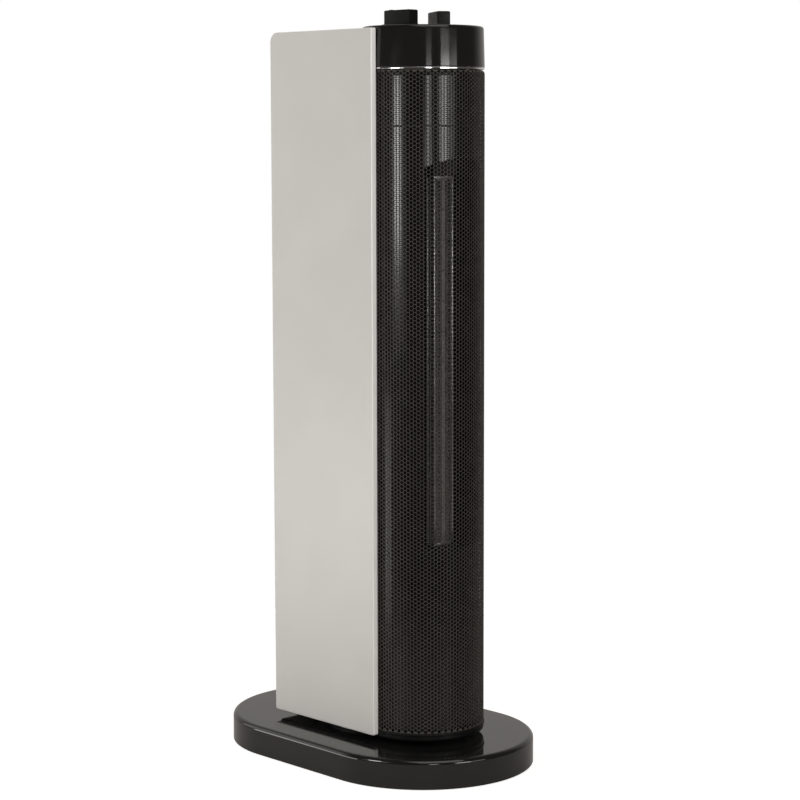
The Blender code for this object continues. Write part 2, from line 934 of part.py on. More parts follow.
def rear_housing():
    half = tower_radius
    housing = box("rear_housing", (-half, housing_front, housing_bottom), (half, back_face, housing_top))
    bevel(housing, housing_edge, 2)
    wall = housing_wall
    hollow = box(
        "cut_housing_hollow",
        (-half + wall, housing_front - overrun, housing_bottom - overrun),
        (half - wall, back_inside, housing_top - wall),
    )
    head_place = rod(
        "cut_housing_head",
        tower_radius + gap,
        (0, front_axis, mesh_top - gap),
        (0, front_axis, housing_top + overrun),
        2 * front_steps,
    )
    opening = box(
        "cut_housing_intake",
        (-intake_half_width, back_inside - overrun, fan_lower_bottom),
        (intake_half_width, back_face + overrun, fan_upper_bottom - screen_inset),
    )
    grip_top = housing_top - grip_drop
    grip_bottom = grip_top - grip_height
    outer = rounded(
        (-grip_half_width - grip_wall, grip_bottom - grip_wall),
        (grip_half_width + grip_wall, grip_top + grip_wall),
        grip_edge + grip_wall,
    )
    inner = rounded((-grip_half_width, grip_bottom), (grip_half_width, grip_top), grip_edge)
    grip_floor = back_face - grip_depth
    grip = flat("join_grip", [outer], grip_floor - grip_wall, back_inside + wall / 2, "XZ")
    grip_hollow = flat("cut_grip_hollow", [inner], grip_floor, back_face + overrun, "XZ")
    screw_z = tray_floor_top + rear_screw_height
    places = [(side * post_spread, screw_z) for side in (-1, 1)]
    holes = flat(
        "cut_rear_screw_holes",
        [circle(place, screw_hole_radius) for place in places],
        back_inside - overrun,
        back_face + overrun,
        "XZ",
    )
    heads = flat(
        "cut_rear_screw_heads",
        [circle(place, counterbore_radius) for place in places],
        back_face - screw_head_height - gap,
        back_face + overrun,
        "XZ",
    )
    cut(housing, hollow, head_place, opening)
    return cut(join(housing, grip), grip_hollow, holes, heads)


def rear_screws():
    made = []
    seat = back_face - screw_head_height
    length = seat - (back_inside - gap - rear_screw_length) - 3 * gap
    for number, side in enumerate((-1, 1), 1):
        place = (side * post_spread, seat, tray_floor_top + rear_screw_height)
        made.append(screw(f"rear_screw_{number}", place, (0, -1, 0), length))
    return made


def intake_grille():
    """A cover with two columns of round-ended slots that drops into the housing's back."""
    half = intake_half_width - gap
    low = fan_lower_bottom + gap
    high = fan_upper_bottom - screen_inset - gap
    loops = []
    end = slot_height / 2
    count = int((high - low - 2 * intake_frame) / slot_pitch)
    start = (low + high - (count - 1) * slot_pitch) / 2
    for side in (-1, 1):
        inner = side * (intake_rib / 2 + end)
        outer = side * (half - intake_frame - end)
        left, right = min(inner, outer), max(inner, outer)
        for row in range(count):
            z = start + row * slot_pitch
            loop = arc((left, z), end, 90, 270, slot_end_steps)
            loop += arc((right, z), end, -90, 90, slot_end_steps)
            loops.append(loop)
    front = back_face - intake_thickness
    cover = box("intake_grille", (-half, front, low), (half, back_face, high))
    return cut(cover, flat("cut_grille_slots", loops, front - overrun, back_face + overrun, "XZ"))


def dust_screen():
    front = back_face - intake_thickness - gap - screen_thickness
    return box(
        "dust_screen",
        (-intake_half_width + screen_inset, front, fan_lower_top + gap),
        (intake_half_width - screen_inset, front + screen_thickness, fan_upper_bottom - screen_inset - gap),
    )


def top_deck():
    outline = front_path(shell_radius, front_axis + top_deck_leg)
    hole = circle(function_place, lead_radius + top_deck_hole_play)
    return flat("top_deck", [outline, hole], top_deck_bottom, top_deck_top)


# Control head

head_inside = tower_radius - head_wall
head_under = head_top - head_wall


def trim_ring():
    """A bright ring with a short upright lip and a slope that runs in to the mesh's shoulder."""
    outer = tower_radius - trim_recess
    profile = (
        (outer - trim_width, trim_bottom),
        (outer - trim_taper, trim_bottom),
        (outer, trim_top - trim_lip),
        (outer, trim_top),
        (outer - trim_width, trim_top),
    )
    return turned("trim_ring", profile, (0, front_axis), 2 * front_steps)


def control_head():
    crown = tower_radius - head_draft
    edge = arc((crown - head_edge_radius, head_top - head_edge_radius), head_edge_radius, 90, 0, 4)
    profile = [(0, head_top)] + edge + [(tower_radius, head_bottom), (head_inside, head_bottom)]
    profile += [(crown - head_wall, head_under), (0, head_under)]
    head = turned("control_head", profile, (0, front_axis), 2 * front_steps, closed=False)
    holes = [circle(place, spindle_radius + spindle_hole_play, 20) for place in (function_place, thermostat_place)]
    return cut(head, flat("cut_head_holes", holes, head_under - overrun, head_top + overrun))


def knob(name, place, turn):
    """A bar knob on a low round skirt. Its dot points to the back, and turn is clockwise from there."""
    low = head_top + gap
    top = head_top + knob_height
    skirt = rod(name, knob_skirt_radius, (0, 0, low), (0, 0, low + knob_skirt_height), round_sides)
    bevel(skirt, knob_skirt_height / 3, 1)
    bar = box(
        f"join_{name}_bar",
        (-knob_thickness / 2, -knob_length / 2, low + knob_skirt_height / 2),
        (knob_thickness / 2, knob_length / 2, top),
    )
    bevel(bar, knob_edge)
    dot_y = knob_length / 2 - knob_dot_setback
    dot = rod(
        f"join_{name}_dot", knob_dot_radius, (0, dot_y, top - knob_edge), (0, dot_y, top + knob_dot_rise)
    )
    socket = rod(
        f"cut_{name}_socket",
        spindle_radius + spindle_play,
        (0, 0, low - overrun),
        (0, 0, head_top + spindle_socket_depth + spindle_play),
    )
    settle = Matrix.Translation((*place, 0)) @ Matrix.Rotation(-math.radians(turn), 4, "Z")
    for shape in (skirt, bar, dot, socket):
        shape.data.transform(settle)
    return cut(join(skirt, bar, dot), socket)


def spindle(name, place):
    low = head_under - gap - spindle_drop
    high = head_top + spindle_socket_depth
    return rod(name, spindle_radius, (*place, low), (*place, high))


def control_body(name, place, width, height):
    """A switch or thermostat body that hangs under the head's top, with a socket for its spindle."""
    top = head_under - gap
    half = Vector((width / 2, width / 2, 0))
    body = box(name, Vector((*place, top - height)) - half, Vector((*place, top)) + half)
    bevel(body, knob_edge / 2)
    socket = rod(
        f"cut_{name}_socket",
        spindle_radius + spindle_play,
        (*place, top - spindle_drop - gap),
        (*place, top + overrun),
    )
    return cut(body, socket)


# Heating element

element_half = element_width / 2
fin_outer = element_half - element_rail - fin_inset
fin_inner = stone_width / 2 + fin_inset
element_inner_bottom = element_bottom + element_cap
element_inner_top = element_top - element_cap


def element_frame():
    outer = [
        (-element_half, element_bottom),
        (element_half, element_bottom),
        (element_half, element_top),
        (-element_half, element_top),
    ]
    inside = element_half - element_rail
    inner = [
        (-inside, element_inner_bottom),
        (inside, element_inner_bottom),
        (inside, element_inner_top),
        (-inside, element_inner_top),
    ]
    return flat("element_frame", [outer, inner], element_front, element_back, "XZ")


def stone_bar():
    half = stone_width / 2
    low = (-half, element_front + fin_inset, element_inner_bottom + gap)
    high = (half, element_back - fin_inset, element_inner_top - gap)
    return box("stone_bar", low, high)


def fin_bank(name, side):
    """A strip of aluminium folded to and fro between the stones and the rail."""
    low = element_inner_bottom + gap
    high = element_inner_top - gap
    folds = 2 * int((high - low) / fin_pitch)
    rise = (high - low) / folds
    near, far = side * fin_inner, side * fin_outer
    fold_width = side * fin_fold
    edges = []
    for fold in range(folds + 1):
        x, z = (far - fold_width if fold % 2 else near), low + rise * fold
        edges.append(((x, z), (x + fold_width, z)))
    return ribbon(name, edges, element_front + fin_inset, element_back - fin_inset)


def element_holder(name, low, high, foot_low):
    """A heat-proof post between a fan deck and the element's end, with a wider foot."""
    middle = (element_front + element_back) / 2
    post = box(
        name,
        (-holder_width / 2, middle - holder_depth / 2, low),
        (holder_width / 2, middle + holder_depth / 2, high),
    )
    bevel(post, knob_edge)
    foot = box(
        f"join_{name}_foot",
        (-holder_foot_width / 2, middle - holder_depth / 2 + gap, foot_low),
        (holder_foot_width / 2, middle + holder_depth / 2 - gap, foot_low + holder_foot_thickness),
    )
    return join(post, foot)


def thermal_cutout():
    top = fan_upper_bottom - gap
    back = element_back
    x = cutout_spread + cutout_width / 2
    low = (x - cutout_width / 2, back - cutout_depth, top - cutout_height)
    return bevel(box("thermal_cutout", low, (x + cutout_width / 2, back, top)), knob_edge / 2)


# Blower

def fan_deck(name, low, high, hole):
    """A plate across the tower that closes one end of the blower."""
    plate = flat(
        name,
        [front_path(fan_deck_radius, fan_deck_back), circle((0, fan_axis), hole, 24)],
        low,
        high,
    )
    reach = lead_radius + lead_notch_play
    notch = box(
        f"cut_{name}_notch",
        (-tower_radius, lead_place[1] - reach, low - overrun),
        (lead_place[0] + reach, lead_place[1] + reach, high + overrun),
    )
    return cut(plate, notch)


lead_place = (-fan_deck_radius + lead_radius + lead_notch_play, fan_axis)


def duct_wall_of(name, path):
    levels = (fan_lower_top + gap, fan_upper_bottom - gap)
    return loft(name, [at_level(path, level) for level in levels], duct_wall, 0)


duct_mouth = (duct_mouth_half_width, front_axis - duct_mouth_advance)
duct_throat = (duct_throat_half_width, front_axis + duct_throat_setback)
duct_back_x = intake_half_width + duct_back_margin
duct_back_corner = (duct_back_x, fan_axis + impeller_radius)
duct_back_end = (duct_back_x, fan_deck_back)


def scroll_wall():
    bend = arc((0, fan_axis), impeller_radius + scroll_clearance, -38, 20, 6)
    return duct_wall_of("scroll_wall", [duct_mouth, duct_throat] + bend + [duct_back_corner, duct_back_end])


def cutoff_wall():
    bend = arc((0, fan_axis), impeller_radius + cutoff_clearance, 205, 170, 4)
    path = [duct_mouth, duct_throat, duct_back_corner, duct_back_end]
    path = [(-x, y) for x, y in path]
    return duct_wall_of("cutoff_wall", path[:2] + bend + path[2:])


impeller_bottom = fan_lower_top + impeller_lower_gap
impeller_top = fan_upper_bottom - impeller_upper_gap


def impeller():
    """Three discs that carry a ring of curved blades, a hub below and a stub axle above."""
    disc = impeller_disc_thickness
    middle = (impeller_bottom + impeller_top) / 2
    centre = (0, fan_axis)
    wheel = flat(
        "impeller", [circle(centre, impeller_radius, round_sides)], impeller_bottom, impeller_bottom + disc
    )
    ring_inside = impeller_radius - impeller_ring_width
    ring = flat(
        "join_impeller_ring",
        [circle(centre, impeller_radius, round_sides), circle(centre, ring_inside, round_sides)],
        middle - disc / 2,
        middle + disc / 2,
    )
    lid = flat(
        "join_impeller_lid", [circle(centre, impeller_radius, round_sides)], impeller_top - disc, impeller_top
    )
    loops = []
    for number in range(impeller_blades):
        turn = 360 * number / impeller_blades
        sides = []
        for half in (-blade_thickness / 2, blade_thickness / 2):
            side = []
            for step, lean in enumerate(blade_lean_shares):
                share = step / (len(blade_lean_shares) - 1)
                radius = impeller_radius - disc - share * (impeller_ring_width - 2 * disc)
                angle = math.radians(turn) + lean * impeller_ring_width / radius
                across = (-math.sin(angle) * half, math.cos(angle) * half)
                side.append(
                    (radius * math.cos(angle) + across[0], fan_axis + radius * math.sin(angle) + across[1])
                )
            sides.append(side)
        loops.append(sides[0] + sides[1][::-1])
    blades = flat("join_impeller_blades", loops, impeller_bottom + disc / 2, impeller_top - disc / 2)
    hub_top = impeller_bottom + impeller_hub_height
    hub = rod(
        "join_impeller_hub", impeller_hub_radius, (*centre, impeller_bottom + disc / 2), (*centre, hub_top), 24
    )
    stub_top = fan_upper_top + stub_reach
    stub = rod("join_impeller_stub", shaft_radius, (*centre, impeller_top - disc / 2), (*centre, stub_top))
    socket = rod(
        "cut_impeller_socket",
        shaft_radius + shaft_play,
        (*centre, impeller_bottom - overrun),
        (*centre, hub_top - disc),
    )
    return cut(join(wheel, ring, lid, blades, hub, stub), socket)


def top_bearing():
    bore = shaft_radius + shaft_play
    flange_bottom = fan_upper_top + gap
    flange_top = flange_bottom + bearing_bush_flange_thickness
    flange = bearing_bush_radius + bearing_bush_flange
    profile = (
        (bore, fan_upper_bottom),
        (bearing_bush_radius, fan_upper_bottom),
        (bearing_bush_radius, flange_bottom),
        (flange, flange_bottom),
        (flange, flange_top),
        (bore, flange_top),
    )
    return turned("top_bearing", profile, (0, fan_axis), 24)


# Fan motor

bracket_bottom = fan_lower_bottom - gap - bracket_post_height - bracket_thickness
stator_top = bracket_bottom - gap
stator_bottom = stator_top - stator_height
rotor_top = stator_top - (stator_height - rotor_height) / 2
rotor_bottom = rotor_top - rotor_height
leg_front = fan_axis + stator_window_reach + stator_window_depth
leg_back = leg_front + stator_leg


def fan_rotor():
    shaft_top = impeller_bottom + impeller_hub_height - 2 * impeller_disc_thickness
    profile = (
        (0, shaft_top),
        (shaft_radius, shaft_top),
        (shaft_radius, rotor_top),
        (rotor_radius, rotor_top),
        (rotor_radius, rotor_bottom),
        (shaft_radius, rotor_bottom),
        (shaft_radius, rotor_bottom - rotor_tail),
        (0, rotor_bottom - rotor_tail),
    )
    return turned("fan_rotor", profile, (0, fan_axis), 24, closed=False)


def fan_stator():
    half = stator_half_width
    outline = rounded((-half, fan_axis - stator_front), (half, leg_back), knob_edge)
    bore = circle((0, fan_axis), rotor_radius + rotor_play, round_sides)
    window_front = fan_axis + stator_window_reach
    window = rounded(
        (-stator_window_half_width, window_front), (stator_window_half_width, leg_front), knob_edge
    )
    return flat("fan_stator", [outline, bore, window], stator_bottom, stator_top)


def fan_coil():
    """The winding on its bobbin, round the stator's far leg."""
    wall = coil_wall
    play = coil_play
    coil = box(
        "fan_coil",
        (-coil_half_width, leg_front - play - wall, stator_bottom - play - wall),
        (coil_half_width, leg_back + play + wall, stator_top + play + wall),
    )
    bevel(coil, knob_edge)
    core = box(
        "cut_coil_core",
        (-coil_half_width - overrun, leg_front - play, stator_bottom - play),
        (coil_half_width + overrun, leg_back + play, stator_top + play),
    )
    return cut(coil, core)


def motor_bracket():
    low, high = bracket_bottom, bracket_bottom + bracket_thickness
    outline = rounded(
        (-bracket_half_length, fan_axis - bracket_half_width),
        (bracket_half_length, fan_axis + bracket_half_width),
        knob_edge,
    )
    bore = circle((0, fan_axis), shaft_radius + shaft_play, small_sides)
    strap = flat("motor_bracket", [outline, bore], low, high)
    posts = []
    for side in (-1, 1):
        x = side * bracket_post_spread
        posts.append(
            rod(
                f"join_bracket_post_{side}",
                bracket_post_radius,
                (x, fan_axis, low + bracket_thickness / 2),
                (x, fan_axis, fan_lower_bottom - gap),
            )
        )
    return join(strap, *posts)


# Internal lead, in the foot and in the tower. The two meet end to end on the turning axis.

lead_level = sole_top + lead_lift + lead_radius
lead_joint = crank_disc_bottom + gap
inlet_inside = foot_length / 2 - foot_wall - inlet_flange_setback - inlet_flange_thickness
switch_under = head_under - gap - switch_height


def between(start, end, across_share, up_share):
    """A point part of the way from start to end, with its own share of the height."""
    point = Vector(start).lerp(Vector(end), across_share)
    point.z = start[2] + (end[2] - start[2]) * up_share
    return point


def foot_lead():
    start = (0, inlet_inside - gap, inlet_height)
    run_start = (0, inlet_inside - lead_bend, lead_level)
    run_end = (0, lead_bend, lead_level)
    foot_joint = (0, 0, lead_joint)
    route = [start, between(start, run_start, *lead_dip_shares), run_start]
    route += [between(run_start, run_end, share, share) for share in lead_run_shares]
    route.append(run_end)
    route += [between(run_end, foot_joint, *shares) for shares in lead_rise_shares]
    route.append(foot_joint)
    return lead("foot_lead", route)


def tower_lead():
    x, y = lead_place
    floor_end = (0, 0, tray_floor_top + lead_bend)
    riser_start = (x, y, stator_bottom)
    riser_end = (x, y, fan_upper_top + lead_bend / 2)
    turn_in = (*function_place, top_deck_bottom - lead_bend / 3)
    route = [(0, 0, lead_joint + gap), (0, 0, tray_bottom), floor_end]
    route += [between(floor_end, riser_start, *shares) for shares in lead_lower_shares]
    route.append(riser_start)
    route += [between(riser_start, riser_end, share, share) for share in lead_run_shares]
    route.append(riser_end)
    route += [between(riser_end, turn_in, *shares) for shares in lead_upper_shares]
    route += [turn_in, (*function_place, top_deck_top), (*function_place, switch_under - gap)]
    return lead("tower_lead", route)


# Materials, by the names of the pieces that they cover

materials = {
    "gloss_black": ((0.012, 0.012, 0.012), 0.12, 0.0),
    "satin_black": ((0.016, 0.016, 0.016), 0.42, 0.0),
    "panel_grey": ((0.50, 0.495, 0.475), 0.35, 0.0),
    "mesh_black": ((0.020, 0.019, 0.018), 0.35, 0.6),
    "chrome": ((0.85, 0.85, 0.86), 0.08, 1.0),
    "zinc_steel": ((0.55, 0.55, 0.56), 0.35, 1.0),
    "dark_steel": ((0.10, 0.10, 0.105), 0.45, 0.9),
    "aluminium": ((0.70, 0.70, 0.71), 0.32, 1.0),
    "ceramic": ((0.45, 0.43, 0.40), 0.7, 0.0),
    "heat_plastic": ((0.06, 0.055, 0.05), 0.6, 0.0),
    "white_plastic": ((0.78, 0.77, 0.73), 0.4, 0.0),
    "rubber": ((0.02, 0.02, 0.02), 0.85, 0.0),
    "copper": ((0.62, 0.28, 0.13), 0.35, 1.0),
    "grey_foam": ((0.16, 0.16, 0.16), 0.95, 0.0),
}


def finish(pieces, name):
    if name in bpy.data.materials:
        material = bpy.data.materials[name]
    else:
        colour, roughness, metallic = materials[name]
        material = bpy.data.materials.new(name)
        material.use_nodes = True
        shader = material.node_tree.nodes["Principled BSDF"]
        shader.inputs["Base Color"].default_value = (*colour, 1)
        shader.inputs["Roughness"].default_value = roughness
        shader.inputs["Metallic"].default_value = metallic
    for piece in pieces:
        piece.data.materials.clear()
        piece.data.materials.append(material)
        piece.data.shade_smooth()
        piece.data.set_sharp_from_angle(angle=math.radians(35))
    return pieces


def axis_empty(name, place, carrier=None):
    """An empty on a joint's axis. What it carries keeps its place in the world."""
    empty = bpy.data.objects.new(name, None)
    empty.location = place
    heater.objects.link(empty)
    bpy.context.view_layer.update()
    if carrier:
        carry(carrier, [empty])
    return empty


def carry(carrier, pieces):
    bpy.context.view_layer.update()
    for piece in pieces:
        piece.parent = carrier
        piece.matrix_parent_inverse = carrier.matrix_world.inverted()
        tools = [change.object for change in piece.modifiers if change.type == "BOOLEAN"]
        for tool in tools:
            tool.parent = carrier
            tool.matrix_parent_inverse = carrier.matrix_world.inverted()


# The foot, which stays put
finish([foot_cover()], "gloss_black")
finish([foot_sole(), tip_switch(), bearing_ring()], "satin_black")
finish([ballast_plate()], "dark_steel")
finish(rubber_pads() + [cord_inlet(), foot_lead()], "rubber")
finish(foot_screws(), "zinc_steel")

# The sprung plunger of the tip-over switch
plunger = finish([tip_plunger()], "white_plastic")
carry(axis_empty("tip_axis", (*tip_place, 0)), plunger)

# The tower, which turns on the foot
tower = finish([bottom_tray(), rear_housing(), intake_grille()], "satin_black")
tower += finish([top_deck(), scroll_wall(), cutoff_wall()], "satin_black")
tower += finish([retaining_ring(), motor_bracket()], "zinc_steel")
tower += finish(neck_screws() + rear_screws(), "zinc_steel")
tower += finish([side_plate("side_plate_left", -1), side_plate("side_plate_right", 1)], "panel_grey")
tower += finish([front_mesh()], "mesh_black")
tower += finish([trim_ring()], "chrome")
tower += finish([control_head(), inner_shell()], "gloss_black")
tower += finish([dust_screen()], "grey_foam")
tower += finish([swing_motor(), fan_stator()], "dark_steel")
tower += finish([fan_coil()], "copper")
tower += finish([tower_lead()], "rubber")
tower += finish([top_bearing()], "white_plastic")
tower += finish(
    [
        fan_deck("fan_deck_lower", fan_lower_bottom, fan_lower_top, 2 * shaft_radius),
        fan_deck("fan_deck_upper", fan_upper_bottom, fan_upper_top, bearing_bush_radius + gap),
    ],
    "heat_plastic",
)
tower += finish(
    [
        element_holder("holder_lower", fan_lower_top + gap, element_bottom - gap, fan_lower_top + gap),
        element_holder(
            "holder_upper",
            element_top + gap,
            fan_upper_bottom - gap,
            fan_upper_bottom - gap - holder_foot_thickness,
        ),
    ],
    "heat_plastic",
)
tower += finish([element_frame(), fin_bank("fin_bank_left", -1), fin_bank("fin_bank_right", 1)], "aluminium")
tower += finish([stone_bar()], "ceramic")
tower += finish([thermal_cutout()], "white_plastic")
tower += finish(
    [
        control_body("function_switch", function_place, switch_width, switch_height),
        control_body("thermostat", thermostat_place, thermostat_width, thermostat_height),
    ],
    "heat_plastic",
)
swing_axis = axis_empty("swing_axis", (0, 0, foot_height))
carry(swing_axis, tower)

# What turns in the tower
crank = finish([swing_crank()], "white_plastic")
carry(axis_empty("crank_axis", (0, crank_y, foot_height), swing_axis), crank)
wheel = finish([impeller()], "satin_black") + finish([fan_rotor()], "dark_steel")
carry(axis_empty("fan_axis", (0, fan_axis, impeller_bottom), swing_axis), wheel)
function_parts = finish([knob("function_knob", function_place, 0)], "satin_black")
function_parts += finish([spindle("function_spindle", function_place)], "white_plastic")
carry(axis_empty("function_axis", (*function_place, head_top), swing_axis), function_parts)
thermostat_parts = finish([knob("thermostat_knob", thermostat_place, thermostat_turn)], "satin_black")
thermostat_parts += finish([spindle("thermostat_spindle", thermostat_place)], "white_plastic")
carry(axis_empty("thermostat_axis", (*thermostat_place, head_top), swing_axis), thermostat_parts)
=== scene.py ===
# Looks of the swinging tower heater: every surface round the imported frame, the lights and the camera.
# Metres, +Z up, the front faces -Y. The tower's round front has its axis ahead of the turning axis.

import math

import bmesh
import bpy
from mathutils import Matrix, Vector


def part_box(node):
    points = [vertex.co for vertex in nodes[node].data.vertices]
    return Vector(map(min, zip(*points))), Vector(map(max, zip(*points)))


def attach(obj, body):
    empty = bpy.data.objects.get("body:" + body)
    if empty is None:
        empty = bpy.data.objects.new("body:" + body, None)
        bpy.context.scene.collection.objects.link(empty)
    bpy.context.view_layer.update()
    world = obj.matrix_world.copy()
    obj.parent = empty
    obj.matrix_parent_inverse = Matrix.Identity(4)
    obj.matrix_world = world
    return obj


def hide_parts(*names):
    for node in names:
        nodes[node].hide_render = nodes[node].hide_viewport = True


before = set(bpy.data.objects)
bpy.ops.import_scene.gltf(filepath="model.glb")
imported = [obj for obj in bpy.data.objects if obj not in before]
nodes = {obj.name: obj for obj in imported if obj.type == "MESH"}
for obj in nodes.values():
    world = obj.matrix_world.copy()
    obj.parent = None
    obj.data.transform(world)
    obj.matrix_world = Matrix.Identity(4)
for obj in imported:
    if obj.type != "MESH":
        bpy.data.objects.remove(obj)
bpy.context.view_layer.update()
scene = bpy.context.scene

# Small distances and roundings, and the edge angle in degrees past which shading breaks
weld_distance = 0.0000001
hair = 0.00002
faint_edge = 0.0001
crisp_edge = 0.0002
fine_edge = 0.0003
soft_edge = 0.0004
smooth_limit = 35.0

# The flat strip beside a rounding, which keeps its shading off the face, and how far a tool passes a wall
brace = 0.0006
cut_margin = 0.002

# Screws
screw_head_radius = 0.0030
screw_head_height = 0.0014
screw_crown_radius = 0.72 * screw_head_radius
screw_crown_drop = 0.55 * screw_head_height
screw_crown_edge = 0.0008
screw_shank_radius = 0.0014
screw_tip_radius = 0.6 * screw_shank_radius
screw_tip_length = 0.0006
screw_recess_half_length = 0.0019
screw_recess_half_width = 0.0004
screw_recess_depth = 0.0009
screw_recess_edge = 0.00008

# Foot. The grooves of a pad lie at shares of its radius.
foot_low, foot_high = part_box("foot_cover")
foot_wall = 0.0025
foot_crown_radius = 0.004
foot_hem_radius = 0.0007
neck_hole_radius = 0.0364
inlet_hole_radius = 0.0053
bush_clearance = 0.0003
bush_bore_radius = 0.0032
bush_flange_thickness = 0.0022
bush_nose_edge = 0.0006
bush_bore_edge = 0.0005
pad_groove_shares = (0.42, 0.72)
pad_groove_depth = 0.0006
pad_groove_half_mouth = 0.0005
pad_groove_half_bed = 0.0003
pad_sole_edge = 0.0005

# Tower front and tray
front_axis = -0.053
tower_radius = 0.0497
tray_low, tray_high = 0.028, 0.0347
tray_floor = 0.031
tray_wall = 0.0025
tray_bottom_radius = 0.0022
tray_lip = 0.0007
tray_lip_height = 0.0015
tray_lip_slope = 0.0006
tray_lip_edge = 0.0006
neck_clearance = 0.0004
neck_wall = 0.006
bearing_clearance = 0.0003
collar_radius = 0.0444
collar_overlap = 0.0012
shaft_hole_radius = 0.0033
crank_axis = -0.014

# Perforated front
mesh_low, mesh_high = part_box("front_mesh")
sheet_thickness = 0.0008
cell_pitch = 0.0032
cell_open_share = 0.87
cell_columns = 57
cell_rows = 166
leg_start = (cell_columns - 1) / 2 * cell_pitch * math.sqrt(0.75) + cell_pitch / math.sqrt(12)
shoulder_radius = 0.0028
shoulder_start = mesh_high.z - shoulder_radius
lip_width = 0.0009

# Side plates. A face whose normal has less than the sideways share is a narrow edge, painted paler as painted
# light.
plate_low, plate_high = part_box("side_plate_left")
plate_gap = 0.0003
plate_back_corner = 0.008
plate_corner = 0.0016
plate_corner_ease = 0.9
plate_edge = 0.0009
sideways_share = 0.8

# Inner shell
shell_low, shell_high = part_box("inner_shell")
shell_radius = 0.0464
shell_wall = 0.002
shell_seam = 0.5222
shell_seam_gap = 0.0011
shell_seam_depth = 0.0012
window_half_angle = 42.0
window_low = 0.1855
window_high = 0.4972
window_arch = 0.0072
window_corner = 0.006

# Heating element
element_low, element_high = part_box("element_frame")
rail_thickness = 0.0012
rail_depth = 0.0016
cap_thickness = 0.002
fin_sheet = 0.00026
fin_pitch = 0.0014
fin_setback = 0.0002
stone_count = 12
stone_gap = 0.0005

# Chrome ring and control head
ring_low, ring_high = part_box("trim_ring")
ring_width = 0.0035
ring_chamfer_width = 0.0010
ring_chamfer_height = 0.0003
ring_edge = 0.00012
ring_smooth_limit = 50.0
head_low, head_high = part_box("control_head")
head_wall = 0.0025
head_draft = 0.0008
head_edge = 0.0024
head_flat_inset = 0.0012
head_inner_chamfer = 0.001
spindle_hole_radius = 0.004

# Knobs. The flare's curve pairs its share with a height, and the dome's curve an inset with its share.
control_spread = 0.021
control_setback = -0.050
thermostat_turn = 28.0
knob_gap = 0.0003
knob_height = 0.0125
knob_half_length = 0.0144
knob_half_thickness = 0.00545
knob_corner = 0.0010
knob_crown = 0.0012
knob_dome = 0.0001
knob_dome_curve = ((0.0005, 0.5), (0.0016, 0.0))
knob_skirt_radius = 0.0155
knob_skirt_height = 0.0008
knob_flare = 0.0005
knob_flare_curve = ((1.0, -0.0001), (0.45, 0.0003), (0.12, 0.001), (0.0, 0.0024))
knob_socket_radius = 0.0033
knob_socket_depth = 0.0095
knob_dot_radius = 0.0022
knob_dot_flat_share = 0.6
knob_dot_inset = 0.0036

# Intake cover
intake_frame = 0.0045
intake_rib = 0.005
slot_height = 0.0045
slot_pitch = 0.009
cover_bevel_turn = 0.9

# Surroundings. The floor fades out between two distances, and the studio brightens between two turns.
floor_radius = 1.6
floor_fade = (0.30, 0.85)
floor_colour = (0.55, 0.525, 0.50, 1)
floor_glow = 0.75
floor_mirror_glow = 0.03
white = (1, 1, 1, 1)
warm_white = (1, 0.955, 0.915, 1)
sky_strength = 0.34
mirror_heading = (0.68, 0.73, 0.0)
mirror_turns = (0.25, 0.85)
mirror_strengths = (0.08, 0.52)
lamp_colour = (1, 0.98, 0.96)

# Camera
camera_place = (-1.2616, -1.3826, 0.5147)
camera_yaw, camera_pitch, camera_roll = 0.74886, 0.11626, -0.0024
camera_lens = 101.88
camera_sensor = 36.0
camera_clip = 0.05


def size_of(node):
    low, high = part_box(node)
    return high - low


def middle_of(node):
    low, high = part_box(node)
    return (low + high) / 2


def outward(shape):
    """Merges what coincides and turns the faces outwards."""
    bmesh.ops.remove_doubles(shape, verts=shape.verts, dist=weld_distance)
    bmesh.ops.recalc_face_normals(shape, faces=shape.faces)
    if shape.calc_volume(signed=True) < 0:
        bmesh.ops.reverse_faces(shape, faces=shape.faces)
    return shape


def smoothed(mesh, limit=smooth_limit):
    """Smooth shading but for the edges that are sharper than the limit."""
    mesh.shade_smooth()
    mesh.set_sharp_from_angle(angle=math.radians(limit))
    return mesh


def shown(name, shape, finish, limit=smooth_limit):
    """A piece from an edited mesh."""
    mesh = bpy.data.meshes.new(name)
    shape.to_mesh(mesh)
    shape.free()
    mesh.materials.append(finishes[finish])
    piece = bpy.data.objects.new(name, smoothed(mesh, limit))
    scene.collection.objects.link(piece)
    return piece


def stands_for(piece, body, slot, *cad_nodes):
    """The piece rides on the body and takes the place of these solids."""
    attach(piece, body)
    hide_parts(*cad_nodes)


def skin(rings, ends="capped"):
    """Faces between closed rings of points. The ends are capped, joined to each other, or left open."""
    shape = bmesh.new()
    grid = [[shape.verts.new(point) for point in ring] for ring in rings]
    pairs = list(zip(grid, grid[1:]))
    if ends == "joined":
        pairs.append((grid[-1], grid[0]))
    for lower, upper in pairs:
        for here in range(len(lower)):
            after = (here + 1) % len(lower)
            shape.faces.new((lower[here], lower[after], upper[after], upper[here]))
    if ends == "capped":
        shape.faces.new(grid[0][::-1])
        shape.faces.new(grid[-1])
    return outward(shape)


def arc(centre, radius, start, end, steps):
    """Points on a circle from start to end, in degrees."""
    turns = [math.radians(start + (end - start) * step / steps) for step in range(steps + 1)]
    return [(centre[0] + radius * math.cos(turn), centre[1] + radius * math.sin(turn)) for turn in turns]


